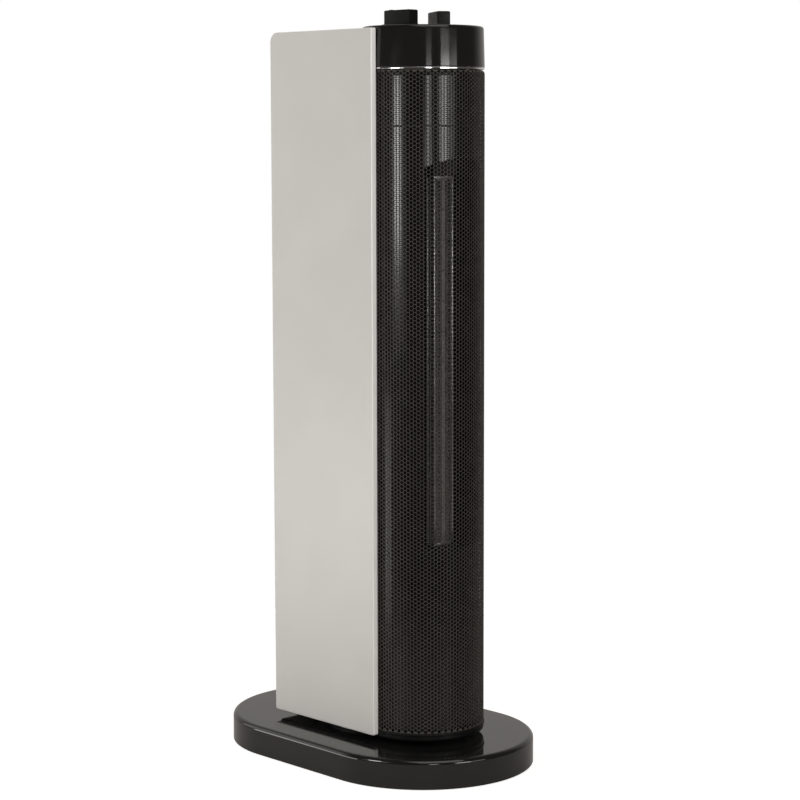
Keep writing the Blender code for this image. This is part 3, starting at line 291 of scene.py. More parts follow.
def eased(corners, closed=True, steps=5):
    """A line through (across, up, radius) corners, each rounded by its own radius."""
    line = [Vector(corner[:2]) for corner in corners]
    points = []
    for place, (across, up, radius) in enumerate(corners):
        here = line[place]
        if radius == 0 or (not closed and place in (0, len(corners) - 1)):
            points.append((across, up))
            continue
        back = (line[place - 1] - here).normalized()
        ahead = (line[(place + 1) % len(line)] - here).normalized()
        half = back.angle(ahead) / 2
        centre = here + (back + ahead).normalized() * radius / math.sin(half)
        start = here + back * radius / math.tan(half) - centre
        end = here + ahead * radius / math.tan(half) - centre
        first = math.atan2(start.y, start.x)
        sweep = (math.atan2(end.y, end.x) - first + math.pi) % (2 * math.pi) - math.pi
        points += arc(centre, radius, math.degrees(first), math.degrees(first + sweep), steps)
    return points


def lathe(profile, centre=(0, 0), sides=96, ends="joined"):
    """A profile of (radius, height) points turned about an upright axis. Points on the axis close up."""
    rings = []
    for radius, height in profile:
        rings.append([(x, y, height) for x, y in arc(centre, radius, 0, 360, sides)[:-1]])
    return skin(rings, ends)


def turned(corners, centre=(0, 0), sides=32, steps=3):
    """A solid turned from rounded corners, of which the first and the last lie on its axis."""
    return lathe(eased(corners, closed=False, steps=steps), centre, sides, "open")


def round_edge(inset, level, radius, rising, steps=4):
    """(inset, level) pairs round an edge, out from a face below or in to a face above."""
    pairs = []
    for step in range(steps + 1):
        turn = math.radians(90 * step / steps)
        if rising:
            pairs.append((inset + radius * (1 - math.cos(turn)), level - radius * (1 - math.sin(turn))))
        else:
            pairs.append((inset + radius * (1 - math.sin(turn)), level + radius * (1 - math.cos(turn))))
    return pairs


def upright(x, y, level):
    return (x, y, level)


def outlines(loop_of, levels, place=upright):
    """Rings of loop_of(inset), one at each (inset, level), each point put in the frame by place."""
    return [[place(across, along, level) for across, along in loop_of(inset)] for inset, level in levels]


def settled(piece, *steps):
    """The piece as a plain mesh, with its modifiers worked in. A step adds one, by its kind and settings."""
    for kind, settings in steps:
        change = piece.modifiers.new(kind.lower(), kind)
        for label, value in settings.items():
            setattr(change, label, value)
    bpy.context.view_layer.update()
    graph = bpy.context.evaluated_depsgraph_get()
    mesh = bpy.data.meshes.new_from_object(piece.evaluated_get(graph))
    piece.modifiers.clear()
    piece.data = smoothed(mesh)
    return piece


def combined(piece, operation, tools):
    """The piece with its tools cut away or joined on. The tools are used up."""
    steps = [("BOOLEAN", {"operation": operation, "solver": "EXACT", "object": tool}) for tool in tools]
    settled(piece, *steps)
    for tool in tools:
        bpy.data.objects.remove(tool)
    return piece


def carved(piece, *tools):
    return combined(piece, "DIFFERENCE", tools)


def joined(piece, *tools):
    return combined(piece, "UNION", tools)


def merged(*shapes):
    """Several edited meshes as one."""
    whole = bmesh.new()
    for shape in shapes:
        part = bpy.data.meshes.new("part")
        shape.to_mesh(part)
        shape.free()
        whole.from_mesh(part)
        bpy.data.meshes.remove(part)
    return whole


def block(low, high, edge=crisp_edge):
    """A box with slightly rounded edges."""
    low, high = Vector(low), Vector(high)
    shape = bmesh.new()
    place = Matrix.Translation((low + high) / 2) @ Matrix.Diagonal((*(high - low), 1))
    bmesh.ops.create_cube(shape, size=1, matrix=place)
    bmesh.ops.bevel(shape, geom=shape.edges, offset=edge, segments=2, profile=0.5, affect="EDGES")
    return outward(shape)


def heading_turn(heading):
    """The turn that points an upright shape along the heading."""
    return Vector(heading).to_track_quat("Z", "Y").to_matrix().to_4x4()


def rod(radius, start, end, sides=32):
    """A plain round bar between two points."""
    start, end = Vector(start), Vector(end)
    length = (end - start).length
    shape = turned([(0, 0, 0), (radius, 0, 0), (radius, length, 0), (0, length, 0)], sides=sides)
    shape.transform(Matrix.Translation(start) @ heading_turn(end - start))
    return shape


def node_in(tree, kind, settings=(), inputs=()):
    """A new node with its settings, whose inputs are given values or wired to other nodes' outputs."""
    node = tree.nodes.new(kind)
    for label, value in dict(settings).items():
        setattr(node, label, value)
    for label, value in dict(inputs).items():
        if isinstance(value, bpy.types.NodeSocket):
            tree.links.new(value, node.inputs[label])
        else:
            node.inputs[label].default_value = value
    return node


def spread_in(tree, pattern, levels, values, settings=()):
    """The pattern, brought to run between two values from one of its own levels to another."""
    inputs = {"Value": pattern, "From Min": levels[0], "From Max": levels[1]}
    inputs.update({"To Min": values[0], "To Max": values[1]})
    return node_in(tree, "ShaderNodeMapRange", settings, inputs).outputs[0]


# Finishes

class Finish:
    """A finish in the making: a shader whose patterns read Object coordinates."""

    noise_levels = (0.3, 0.7)

    def __init__(self, name):
        self.material = bpy.data.materials.new(name)
        self.material.use_nodes = True
        self.tree = self.material.node_tree
        self.shader = self.tree.nodes["Principled BSDF"]
        self.place = node_in(self.tree, "ShaderNodeTexCoord").outputs["Object"]

    def even(self, **sockets):
        """Sets what is the same all over the surface."""
        for label, value in sockets.items():
            self.shader.inputs[label.replace("_", " ")].default_value = value

    def patterned(self, label, average, pattern):
        self.shader.inputs[label].default_value = average
        self.tree.links.new(pattern, self.shader.inputs[label])

    def grain(self, size, detail, stretch=(1, 1, 1)):
        """A cloudy pattern with patches of about this size, longer along an axis with a stretch below 1."""
        inputs = {"Vector": self.place, "Scale": stretch}
        place = node_in(self.tree, "ShaderNodeMapping", (), inputs).outputs[0]
        inputs = {"Vector": place, "Scale": 1 / size, "Detail": detail}
        return node_in(self.tree, "ShaderNodeTexNoise", (), inputs).outputs[0]

    def cells(self, size):
        """A pattern of rounded cells, dark in their middles."""
        inputs = {"Vector": self.place, "Scale": 1 / size}
        return node_in(self.tree, "ShaderNodeTexVoronoi", (), inputs).outputs["Distance"]

    def bands(self, size, direction="Z", distortion=0.0):
        """Even bands across one direction, each of this size."""
        settings = {"wave_type": "BANDS", "bands_direction": direction}
        inputs = {"Vector": self.place, "Scale": math.pi / 10 / size, "Distortion": distortion}
        return node_in(self.tree, "ShaderNodeTexWave", settings, inputs).outputs[1]

    def tint(self, pattern, dark, light, levels=noise_levels):
        share = spread_in(self.tree, pattern, levels, (0.0, 1.0))
        inputs = {0: share, 6: (*dark, 1), 7: (*light, 1)}
        mix = node_in(self.tree, "ShaderNodeMix", {"data_type": "RGBA"}, inputs)
        average = (Vector(dark) + Vector(light)) / 2
        self.patterned("Base Color", (*average, 1), mix.outputs[2])

    def gloss(self, pattern, low, high):
        roughness = spread_in(self.tree, pattern, self.noise_levels, (low, high))
        self.patterned("Roughness", (low + high) / 2, roughness)

    def relief(self, pattern, height, strength):
        inputs = {"Height": pattern, "Distance": height, "Strength": strength}
        bump = node_in(self.tree, "ShaderNodeBump", (), inputs)
        self.tree.links.new(bump.outputs[0], self.shader.inputs["Normal"])


finishes = {}


def mixed(describe):
    """Makes the finish that a function describes and keeps it under the function's name."""
    finish = Finish(describe.__name__)
    describe(finish)
    finishes[describe.__name__] = finish.material
    return describe


@mixed
def piano_black(finish):
    """Polished black plastic with faint handling marks."""
    finish.tint(finish.grain(0.05, 3), (0.0055, 0.0054, 0.0053), (0.0088, 0.0085, 0.0082))
    finish.gloss(finish.grain(0.022, 4, (1, 1, 0.6)), 0.05, 0.12)
    finish.relief(finish.grain(0.006, 1), 0.000004, 0.4)


@mixed
def satin_black(finish):
    """Fine spark-eroded black plastic of the knobs and the tray."""
    finish.even(Specular_IOR_Level=0.15)
    finish.tint(finish.grain(0.012, 3), (0.0038, 0.0037, 0.0036), (0.0055, 0.0053, 0.0051))
    finish.gloss(finish.grain(0.005, 3), 0.34, 0.46)
    finish.relief(finish.grain(0.00045, 3), 0.00003, 0.5)


@mixed
def moulded_black(finish):
    """Coarser grained black plastic of the housing and the sole."""
    finish.tint(finish.grain(0.02, 3), (0.016, 0.016, 0.016), (0.025, 0.0245, 0.024))
    finish.gloss(finish.grain(0.008, 3), 0.48, 0.64)
    finish.relief(finish.cells(0.0008), 0.00006, 0.5)


@mixed
def shell_black(finish):
    """Polished black plastic behind the perforated front, drawn lengthwise."""
    finish.even(Specular_IOR_Level=0.38)
    finish.tint(finish.grain(0.03, 3, (1, 1, 0.15)), (0.003, 0.003, 0.003), (0.005, 0.0049, 0.0048))
    finish.gloss(finish.grain(0.010, 3, (1, 1, 0.1)), 0.11, 0.19)
    finish.relief(finish.grain(0.003, 2, (1, 1, 0.05)), 0.00001, 0.3)


@mixed
def plate_grey(finish):
    """Light grey lacquer of the side plates, with a fine even texture."""
    finish.tint(finish.grain(0.06, 4), (0.488, 0.483, 0.463), (0.512, 0.507, 0.487))
    finish.gloss(finish.grain(0.015, 3), 0.30, 0.40)
    finish.relief(finish.grain(0.0009, 3), 0.00004, 0.35)


@mixed
def plate_edges(finish):
    """The side plates' narrow edges, painted paler: painted light that stands in for the light falling on the
    front edge.
    """
    finish.tint(finish.grain(0.02, 4), (0.78, 0.77, 0.75), (0.82, 0.81, 0.79))
    finish.gloss(finish.grain(0.006, 3), 0.34, 0.48)
    finish.relief(finish.grain(0.0007, 3), 0.00004, 0.4)


@mixed
def sheet_enamel(finish):
    """Dark enamel on the perforated sheet, a little brown where it catches light."""
    finish.even(Specular_IOR_Level=0.25)
    finish.tint(finish.grain(0.010, 3), (0.044, 0.040, 0.0355), (0.062, 0.0565, 0.051))
    finish.gloss(finish.grain(0.004, 2), 0.42, 0.56)
    finish.relief(finish.grain(0.0003, 2), 0.00002, 0.4)


@mixed
def bright_chrome(finish):
    """Polished chrome with a trace of turning marks."""
    finish.even(Metallic=1.0)
    finish.tint(finish.grain(0.01, 2), (0.82, 0.82, 0.83), (0.89, 0.89, 0.90))
    finish.gloss(finish.grain(0.004, 2, (1, 1, 20)), 0.05, 0.11)
    finish.relief(finish.grain(0.0004, 1, (0.05, 0.05, 1)), 0.000004, 0.3)


@mixed
def bare_aluminium(finish):
    """Thin rolled aluminium of the element's rails."""
    finish.even(Metallic=1.0)
    finish.tint(finish.grain(0.004, 3), (0.62, 0.62, 0.63), (0.82, 0.82, 0.83))
    finish.gloss(finish.grain(0.002, 2, (1, 1, 6)), 0.22, 0.42)
    finish.relief(finish.grain(0.0006, 2, (1, 1, 8)), 0.00002, 0.4)


@mixed
def fin_aluminium(finish):
    """Dull, slightly oxidised sheet of the folded fins."""
    finish.even(Metallic=0.35)
    finish.tint(finish.grain(0.002, 3), (0.40, 0.39, 0.38), (0.58, 0.57, 0.56))
    finish.gloss(finish.grain(0.001, 2), 0.42, 0.58)
    finish.relief(finish.grain(0.0004, 2), 0.00002, 0.4)


@mixed
def zinc_plate(finish):
    """Zinc-plated steel with its cloudy spangle."""
    finish.even(Metallic=1.0)
    finish.tint(finish.cells(0.006), (0.52, 0.53, 0.56), (0.68, 0.68, 0.69), (0.1, 0.8))
    finish.gloss(finish.grain(0.002, 3), 0.26, 0.44)
    finish.relief(finish.grain(0.0007, 3), 0.00001, 0.5)


@mixed
def rolled_steel(finish):
    """Dark rolled steel of the ballast and the motors, in layers."""
    finish.even(Metallic=0.95)
    finish.tint(finish.grain(0.012, 4), (0.11, 0.11, 0.115), (0.21, 0.205, 0.20))
    finish.gloss(finish.grain(0.003, 3), 0.34, 0.55)
    finish.relief(finish.bands(0.0005), 0.00003, 0.4)


@mixed
def heating_stone(finish):
    """Dark ceramic of the heating stones."""
    finish.tint(finish.grain(0.002, 4), (0.12, 0.115, 0.11), (0.21, 0.20, 0.195))
    finish.gloss(finish.grain(0.001, 2), 0.68, 0.85)
    finish.relief(finish.grain(0.0004, 4), 0.00005, 0.6)


@mixed
def heat_resin(finish):
    """Dark, dull, heat-proof moulding resin."""
    finish.even(Specular_IOR_Level=0.3)
    finish.tint(finish.grain(0.006, 3), (0.009, 0.0084, 0.0078), (0.016, 0.015, 0.014))
    finish.gloss(finish.grain(0.003, 2), 0.52, 0.68)
    finish.relief(finish.grain(0.0005, 2), 0.00003, 0.4)


@mixed
def white_nylon(finish):
    """Off-white nylon of the bearings and spindles."""
    finish.even(Subsurface_Weight=0.05)
    finish.tint(finish.grain(0.008, 3), (0.72, 0.71, 0.66), (0.80, 0.79, 0.745))
    finish.gloss(finish.grain(0.003, 2), 0.36, 0.50)
    finish.relief(finish.grain(0.0008, 2), 0.00002, 0.4)


@mixed
def soft_rubber(finish):
    """Matt black rubber with a little bloom on it."""
    finish.tint(finish.grain(0.006, 4), (0.017, 0.017, 0.017), (0.034, 0.033, 0.032))
    finish.gloss(finish.grain(0.002, 3), 0.74, 0.92)
    finish.relief(finish.grain(0.0005, 3), 0.00005, 0.6)


@mixed
def wound_copper(finish):
    """Lacquered copper wire, laid turn by turn."""
    finish.even(Metallic=1.0)
    finish.tint(finish.grain(0.003, 3), (0.50, 0.20, 0.085), (0.70, 0.32, 0.15))
    finish.gloss(finish.grain(0.002, 2), 0.22, 0.40)
    finish.relief(finish.bands(0.0005, "X", 0.4), 0.00012, 0.8)


@mixed
def open_foam(finish):
    """Grey open-celled foam of the dust screen. Its pores are painted darker in their middles: painted shade
    in the pits.
    """
    finish.tint(finish.cells(0.0011), (0.03, 0.03, 0.03), (0.17, 0.168, 0.165), (0.1, 0.6))
    finish.gloss(finish.grain(0.003, 2), 0.88, 1.0)
    finish.relief(finish.cells(0.0011), 0.0004, 0.9)


# Geometry Nodes trees

class Wire:
    """What a node of a tree gives out. Numbers can be worked with like any others."""

    def __init__(self, tree, socket):
        self.tree = tree
        self.socket = socket

    def __add__(self, other):
        return self.tree.calc("ADD", self, other)

    def __sub__(self, other):
        return self.tree.calc("SUBTRACT", self, other)

    def __rsub__(self, other):
        return self.tree.calc("SUBTRACT", other, self)

    def __mul__(self, other):
        return self.tree.calc("MULTIPLY", self, other)

    def __truediv__(self, other):
        return self.tree.calc("DIVIDE", self, other)

    def __mod__(self, other):
        return self.tree.calc("FLOORED_MODULO", self, other)


class Grower:
    """A Geometry Nodes tree with named inputs, from which finished meshes are grown."""

    kinds = {
        int: "NodeSocketInt",
        float: "NodeSocketFloat",
        bpy.types.Object: "NodeSocketObject",
        bpy.types.Material: "NodeSocketMaterial",
    }

    def __init__(self, name, **inputs):
        inputs["finish"] = bpy.types.Material
        self.group = bpy.data.node_groups.new(name, "GeometryNodeTree")
        for label, kind in inputs.items():
            self.group.interface.new_socket(label, in_out="INPUT", socket_type=self.kinds[kind])
        self.group.interface.new_socket("Mesh", in_out="OUTPUT", socket_type="NodeSocketGeometry")
        sockets = self.group.nodes.new("NodeGroupInput").outputs
        self.given = {label: Wire(self, sockets[label]) for label in inputs}

    def node(self, kind, settings=(), inputs=()):
        wired = {}
        for label, value in dict(inputs).items():
            wired[label] = value.socket if isinstance(value, Wire) else value
        return node_in(self.group, kind, settings, wired)

    def result(self, kind, settings=(), inputs=()):
        """The first output of a new node."""
        return Wire(self, self.node(kind, settings, inputs).outputs[0])

    def calc(self, operation, *values):
        return self.result("ShaderNodeMath", {"operation": operation}, dict(enumerate(values)))

    def vector(self, x, y, z):
        return self.result("ShaderNodeCombineXYZ", (), {0: x, 1: y, 2: z})

    def index(self):
        return self.result("GeometryNodeInputIndex")

    def place(self):
        """How far a point lies across and along."""
        split = self.node("ShaderNodeSeparateXYZ", (), {0: self.result("GeometryNodeInputPosition")})
        return Wire(self, split.outputs[0]), Wire(self, split.outputs[1])

    def moved(self, geometry, place):
        return self.result("GeometryNodeSetPosition", (), {"Geometry": geometry, "Position": place})

    def points(self, count, place):
        return self.result("GeometryNodePoints", (), {"Count": count, "Position": place})

    def copies(self, points, template, selection=True, turn=(0, 0, 0)):
        inputs = {"Points": points, "Instance": template, "Selection": selection, "Rotation": turn}
        return self.result("GeometryNodeInstanceOnPoints", (), inputs)

    def join(self, *parts):
        whole = self.node("GeometryNodeJoinGeometry")
        for part in parts:
            self.group.links.new(part.socket, whole.inputs[0])
        return Wire(self, whole.outputs[0])

    def real(self, geometry):
        return self.result("GeometryNodeRealizeInstances", (), {"Geometry": geometry})

    def finished(self, geometry):
        """Ends the tree: real copies, with their finish set."""
        inputs = {"Geometry": self.real(geometry), "Material": self.given["finish"]}
        self.node("NodeGroupOutput", (), {"Mesh": self.result("GeometryNodeSetMaterial", (), inputs)})
        return self

    def copied(self, count, place, turn=(0, 0, 0)):
        """Ends a tree whose copy input is an object, with copies of it at these places."""
        info = self.node("GeometryNodeObjectInfo", (), {"Object": self.given["copy"]})
        template = info.outputs["Geometry"]
        return self.finished(self.copies(self.points(count, place), template, turn=turn))

    def grown(self, name, finish, **values):
        """A plain mesh object from the tree with these values. An object that it copies is used up."""
        values["finish"] = finishes[finish]
        host = bpy.data.objects.new(name, bpy.data.meshes.new(name))
        scene.collection.objects.link(host)
        grow = host.modifiers.new("grow", "NODES")
        grow.node_group = self.group
        for socket in self.group.interface.items_tree:
            if socket.in_out == "INPUT":
                grow[socket.identifier] = values[socket.name]
        settled(host)
        if "copy" in values:
            bpy.data.objects.remove(values["copy"])
        return host


def perforated_tree():
    """Hexagonal cells in a close lattice, wrapped round the front and over the shoulder.

    Plain half cells make the rims even.
    """
    tree = Grower(
        "perforated_front", columns=int, first_row=int, end_row=int, all_rows=int,
        pitch=float, open_share=float, reach=float, radius=float, axis=float, base=float,
        bend=float, shoulder=float,
    )
    given, calc = tree.given, tree.calc
    columns, pitch = given["columns"], given["pitch"]
    inputs = {"Vertices": 6, "Radius": pitch / math.sqrt(3)}
    cell = tree.result("GeometryNodeMeshCircle", {"fill_type": "NGON"}, inputs)
    inputs = {"Mesh": cell, "Offset Scale": 0.0}
    raised = tree.node("GeometryNodeExtrudeMesh", {"mode": "FACES"}, inputs).outputs
    inputs = {"Geometry": raised["Mesh"], "Selection": raised["Top"], "Scale": given["open_share"]}
    drawn_in = tree.result("GeometryNodeScaleElements", {"domain": "FACE"}, inputs)
    inputs = {"Geometry": drawn_in, "Selection": raised["Top"]}
    holed = tree.result("GeometryNodeDeleteGeometry", {"domain": "FACE"}, inputs)
    x, y = tree.place()
    upper_half = tree.moved(cell, tree.vector(x, calc("MAXIMUM", y, 0.0), 0.0))
    lower_half = tree.moved(cell, tree.vector(x, calc("MINIMUM", y, 0.0), 0.0))

    column = tree.index() % columns
    row = calc("FLOOR", tree.index() / columns) + given["first_row"]
    odd = column % 2.0
    across = (column - (columns - 1.0) / 2.0) * (pitch * math.sqrt(0.75))
    up = (row + odd * 0.5) * pitch
    points = tree.points(columns * (given["end_row"] - given["first_row"]), tree.vector(across, up, 0.0))
    at_foot = (1.0 - odd) * calc("COMPARE", row, 0.0, 0.5)
    at_head = calc("COMPARE", row, given["all_rows"], 0.5)
    flat = tree.join(
        tree.copies(points, holed, (1.0 - at_foot) * (1.0 - at_head)),
        tree.copies(points, upper_half, at_foot),
        tree.copies(points, lower_half, (1.0 - odd) * at_head),
    )

    radius, shoulder, bend = given["radius"], given["shoulder"], given["bend"]
    quarter = radius * (math.pi / 2)

    def within(reach):
        return calc("MINIMUM", calc("MAXIMUM", x, reach * -1.0), reach)

    turn = within(quarter) / radius
    leg = calc("MAXIMUM", calc("ABSOLUTE", within(given["reach"])) - quarter, 0.0)
    over = calc("MAXIMUM", y - bend, 0.0) / shoulder
    drawn = radius - shoulder * (1.0 - calc("COSINE", over))
    wrapped = tree.vector(
        drawn * calc("SINE", turn),
        given["axis"] - drawn * calc("COSINE", turn) + leg,
        given["base"] + (calc("MINIMUM", y, bend) + shoulder * calc("SINE", over)),
    )
    inputs = {"Geometry": tree.moved(tree.real(flat), wrapped), "Distance": hair}
    return tree.finished(tree.result("GeometryNodeMergeByDistance", (), inputs))


def folded_tree():
    """A thin strip folded to and fro between two walls."""
    tree = Grower(
        "folded_fin", folds=int, near=float, far=float, front=float, depth=float, base=float, height=float
    )
    given = tree.given
    folds, depth, height = given["folds"], given["depth"], given["height"]
    inputs = {"Size X": height, "Size Y": depth, "Vertices X": folds + 1.0, "Vertices Y": 2}
    strip = tree.result("GeometryNodeMeshGrid", (), inputs)
    x, y = tree.place()
    along = x / height + 0.5
    odd = tree.calc("ROUND", along * folds) % 2.0
    across = given["near"] + odd * (given["far"] - given["near"])
    place = tree.vector(across, given["front"] + depth / 2.0 + y, given["base"] + along * height)
    return tree.finished(tree.moved(strip, place))


def rows_tree():
    """Copies of one shape in rows along X, Y and Z."""
    inputs = {f"count_{axis}": int for axis in "xyz"}
    inputs.update({f"{label}_{axis}": float for label in ("pitch", "start") for axis in "xyz"})
    tree = Grower("copies_in_rows", copy=bpy.types.Object, **inputs)
    rest = tree.index()
    places = []
    for axis in "xyz":
        count, pitch, start = (tree.given[f"{label}_{axis}"] for label in ("count", "pitch", "start"))
        places.append(start + rest % count * pitch)
        rest = tree.calc("FLOOR", rest / count)
    count_x, count_y, count_z = (tree.given[f"count_{axis}"] for axis in "xyz")
    return tree.copied(count_x * count_y * count_z, tree.vector(*places))


def ring_tree():
    """Copies of one shape in a ring about the turning axis, each turned to face it."""
    tree = Grower(
        "copies_in_a_ring", copy=bpy.types.Object, count=int, first_turn=float, radius=float, level=float
    )
    given, calc = tree.given, tree.calc
    turn = tree.index() / given["count"] * (2 * math.pi) + calc("RADIANS", given["first_turn"])
    x = given["radius"] * calc("COSINE", turn)
    y = given["radius"] * calc("SINE", turn)
    return tree.copied(given["count"], tree.vector(x, y, given["level"]), tree.vector(0.0, 0.0, turn))


perforated_front = perforated_tree()
folded_fin = folded_tree()
copies_in_rows = rows_tree()
copies_in_a_ring = ring_tree()


def in_rows(name, template, finish, count, pitch, start):
    values = {"copy": template}
    for label, numbers in (("count", count), ("pitch", pitch), ("start", start)):
        values.update({f"{label}_{axis}": number for axis, number in zip("xyz", numbers)})
    return copies_in_rows.grown(name, finish, **values)


def at_four_corners(name, template, finish, start):
    """Copies at a place and at its three mirror images about the foot's middle lines."""
    return in_rows(name, template, finish, (2, 2, 1), (-2 * start.x, -2 * start.y, 0.0), start)


# Screws

def screw(name, length, heading):
    """A pan-head screw with a cross recess. Its seat is at the origin, and heading runs to its tip."""
    head, shank = screw_head_radius, screw_shank_radius
    corners = [(0, 0, 0), (screw_crown_radius, 0, screw_crown_edge), (head, screw_crown_drop, fine_edge)]
    corners += [(head, screw_head_height, 0), (shank, screw_head_height, 0)]
    corners += [(shank, length - screw_tip_length, 0), (screw_tip_radius, length, 0), (0, length, 0)]
    made = shown(name, turned(corners, sides=24), "zinc_plate")
    arm = Vector((screw_recess_half_length, screw_recess_half_width, screw_recess_depth))
    slots = [shown("recess", block(-half, half, screw_recess_edge), "zinc_plate") for half in (arm.yxz, arm)]
    carved(made, *slots)
    made.data.transform(heading_turn(heading) @ Matrix.Translation((0, 0, -screw_head_height)))
    return made


# Foot

def ends_round(radius, reach):
    """Two half circles with their centres this far from the middle."""
    return arc((0, reach), radius, 0, 180, 64) + arc((0, -reach), radius, 180, 360, 64)


def foot_outline(inset):
    return ends_round(foot_high.x - inset, foot_high.y - foot_high.x)


def neck_outline(margin):
    return ends_round(neck_hole_radius + margin, 0)


def foot_shell():
    """The glossy cover: hem, upright wall, crown, flat top and the neck's hole, then back inside."""
    low, high = foot_low.z, foot_high.z
    under = high - foot_wall
    outside = round_edge(0, low, foot_hem_radius, False) + [(0, low + foot_hem_radius + brace)]
    outside += [(0, high - foot_crown_radius - brace)] + round_edge(0, high, foot_crown_radius, True, 12)
    outside.append((foot_crown_radius + brace, high))
    neck = [(fine_edge + brace, high), (fine_edge, high), (0, high - fine_edge), (0, under)]
    inside = round_edge(foot_wall, under, foot_crown_radius - foot_wall, True)[::-1] + [(foot_wall, low)]
    rings = outlines(foot_outline, outside) + outlines(neck_outline, neck) + outlines(foot_outline, inside)
    cover = shown("foot_shell", skin(rings, "joined"), "piano_black")
    back, level = foot_high.y, middle_of("cord_inlet").z
    hole = rod(inlet_hole_radius, (0, back - 2 * foot_wall, level), (0, back + foot_wall, level), 40)
    return carved(cover, shown("inlet_hole", hole, "piano_black"))


def rubber_feet():
    """Round pads with two grooves in their soles."""
    size = size_of("rubber_pad_1")
    radius, height = size.x / 2, size.z
    corners = [(0, 0, 0)]
    for middle in (radius * share for share in pad_groove_shares):
        corners.append((middle - pad_groove_half_mouth, 0, faint_edge))
        corners.append((middle - pad_groove_half_bed, pad_groove_depth, faint_edge))
        corners.append((middle + pad_groove_half_bed, pad_groove_depth, faint_edge))
        corners.append((middle + pad_groove_half_mouth, 0, faint_edge))
    corners += [(radius - crisp_edge, 0, pad_sole_edge), (radius, height - soft_edge, fine_edge)]
    corners += [(radius - soft_edge, height, 0), (0, height, 0)]
    pad = shown("pad", turned(corners, sides=48), "soft_rubber")
    start = middle_of("rubber_pad_1")
    start.z -= height / 2
    return at_four_corners("rubber_feet", pad, "soft_rubber", start)


def foot_screws():
    length = size_of("foot_screw_1").z
    start = middle_of("foot_screw_1")
    start.z += screw_head_height - length / 2
    return at_four_corners("foot_screws", screw("foot_screw", length, (0, 0, 1)), "zinc_plate", start)


def cord_bush():
    """The moulded bush of the cord's inlet, with a flange inside the wall and a round nose."""
    low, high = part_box("cord_inlet")
    flange = (high.x - low.x) / 2
    nose = inlet_hole_radius - bush_clearance
    depth = high.y - low.y
    corners = [(bush_bore_radius, 0, crisp_edge), (flange, 0, soft_edge)]
    corners += [(flange, bush_flange_thickness, fine_edge), (nose, bush_flange_thickness, crisp_edge)]
    corners += [(nose, depth, bush_nose_edge), (bush_bore_radius, depth, bush_bore_edge)]
    shape = lathe(eased(corners, steps=3), sides=40)
    level = (low.z + high.z) / 2
    shape.transform(Matrix.Translation((0, low.y, level)) @ Matrix.Rotation(-math.pi / 2, 4, "X"))
    return shown("cord_bush", outward(shape), "soft_rubber")


stands_for(foot_shell(), "foot", "gloss_black", "foot_cover")
stands_for(rubber_feet(), "foot", "rubber", *(f"rubber_pad_{number}" for number in range(1, 5)))
stands_for(foot_screws(), "foot", "zinc_steel", *(f"foot_screw_{number}" for number in range(1, 5)))
stands_for(cord_bush(), "foot", "rubber", "cord_inlet")


# Turntable and tray

def tower_outline(inset):
    """The tower's outline from above: a round front, straight flanks that never bulge, and a flat back."""
    radius = tower_radius - inset
    side = min(radius, tower_radius)
    front = [(max(-side, min(side, x)), y) for x, y in arc((0, front_axis), radius, 180, 360, 96)]
    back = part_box("bottom_tray")[1].y - max(inset, 0)
    return [(-side, back)] + front + [(side, back), (0, back)]


def tray_dish():
    """The black dish that the tower stands in, with a fine lip round its rim."""
    low, high = tray_low, tray_high
    lip_low = high - tray_lip_height
    levels = [(tray_bottom_radius + brace, low)] + round_edge(0, low, tray_bottom_radius, False, 8)
    levels += [(0, low + tray_bottom_radius + brace), (0, lip_low - tray_lip_slope), (-tray_lip, lip_low)]
    levels += round_edge(-tray_lip, high, tray_lip_edge, True, 6)
    levels += [(tray_wall - fine_edge, high), (tray_wall, high - fine_edge), (tray_wall, tray_floor)]
    return skin(outlines(tower_outline, levels))


def tray_collar():
    """The neck that turns in the foot's hole, and the wider collar that rests on the bearing."""
    neck = neck_hole_radius - neck_clearance
    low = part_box("bottom_tray")[0].z
    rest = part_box("bearing_ring")[1].z + bearing_clearance
    corners = [(neck - neck_wall, low, fine_edge), (neck, low, fine_edge), (neck, rest, 0)]
    corners += [(collar_radius, rest, soft_edge), (collar_radius, tray_low + collar_overlap, 0)]
    corners += [(neck - neck_wall, tray_low + collar_overlap, 0)]
    return lathe(eased(corners, steps=3), sides=128)


def tray():
    made = joined(shown("tray", tray_dish(), "satin_black"), shown("collar", tray_collar(), "satin_black"))
    holes = []
    for y in (crank_axis, 0):
        hole = rod(shaft_hole_radius, (0, y, tray_low - cut_margin), (0, y, tray_floor + cut_margin))
        holes.append(shown("shaft_hole", hole, "satin_black"))
    return carved(made, *holes)


stands_for(tray(), "tower", "satin_black", "bottom_tray")


# Perforated front

def mesh_cells(name, first_row, end_row):
    made = perforated_front.grown(
        name, "sheet_enamel", columns=cell_columns, first_row=first_row, end_row=end_row, all_rows=cell_rows,
        pitch=cell_pitch, open_share=cell_open_share, reach=leg_start, radius=tower_radius, axis=front_axis,
        base=mesh_low.z, bend=shoulder_start - mesh_low.z, shoulder=shoulder_radius,
    )
    return settled(made, ("SOLIDIFY", {"thickness": sheet_thickness, "offset": -1.0}))


def along_front(section, back, steps=96):
    """A closed (inset, level) section swept round the front, between two legs that end at back."""
    left_leg, right_leg = (
        [[(side * (tower_radius - inset), y, level) for inset, level in section] for y in (back, front_axis)]
        for side in (-1, 1)
    )
    bow = []
    for step in range(1, steps):
        turn = math.pi * (1 + step / steps)
        ring = []
        for inset, level in section:
            radius = tower_radius - inset
            ring.append((radius * math.cos(turn), front_axis + radius * math.sin(turn), level))
        bow.append(ring)
    return skin(left_leg + bow + right_leg[::-1])


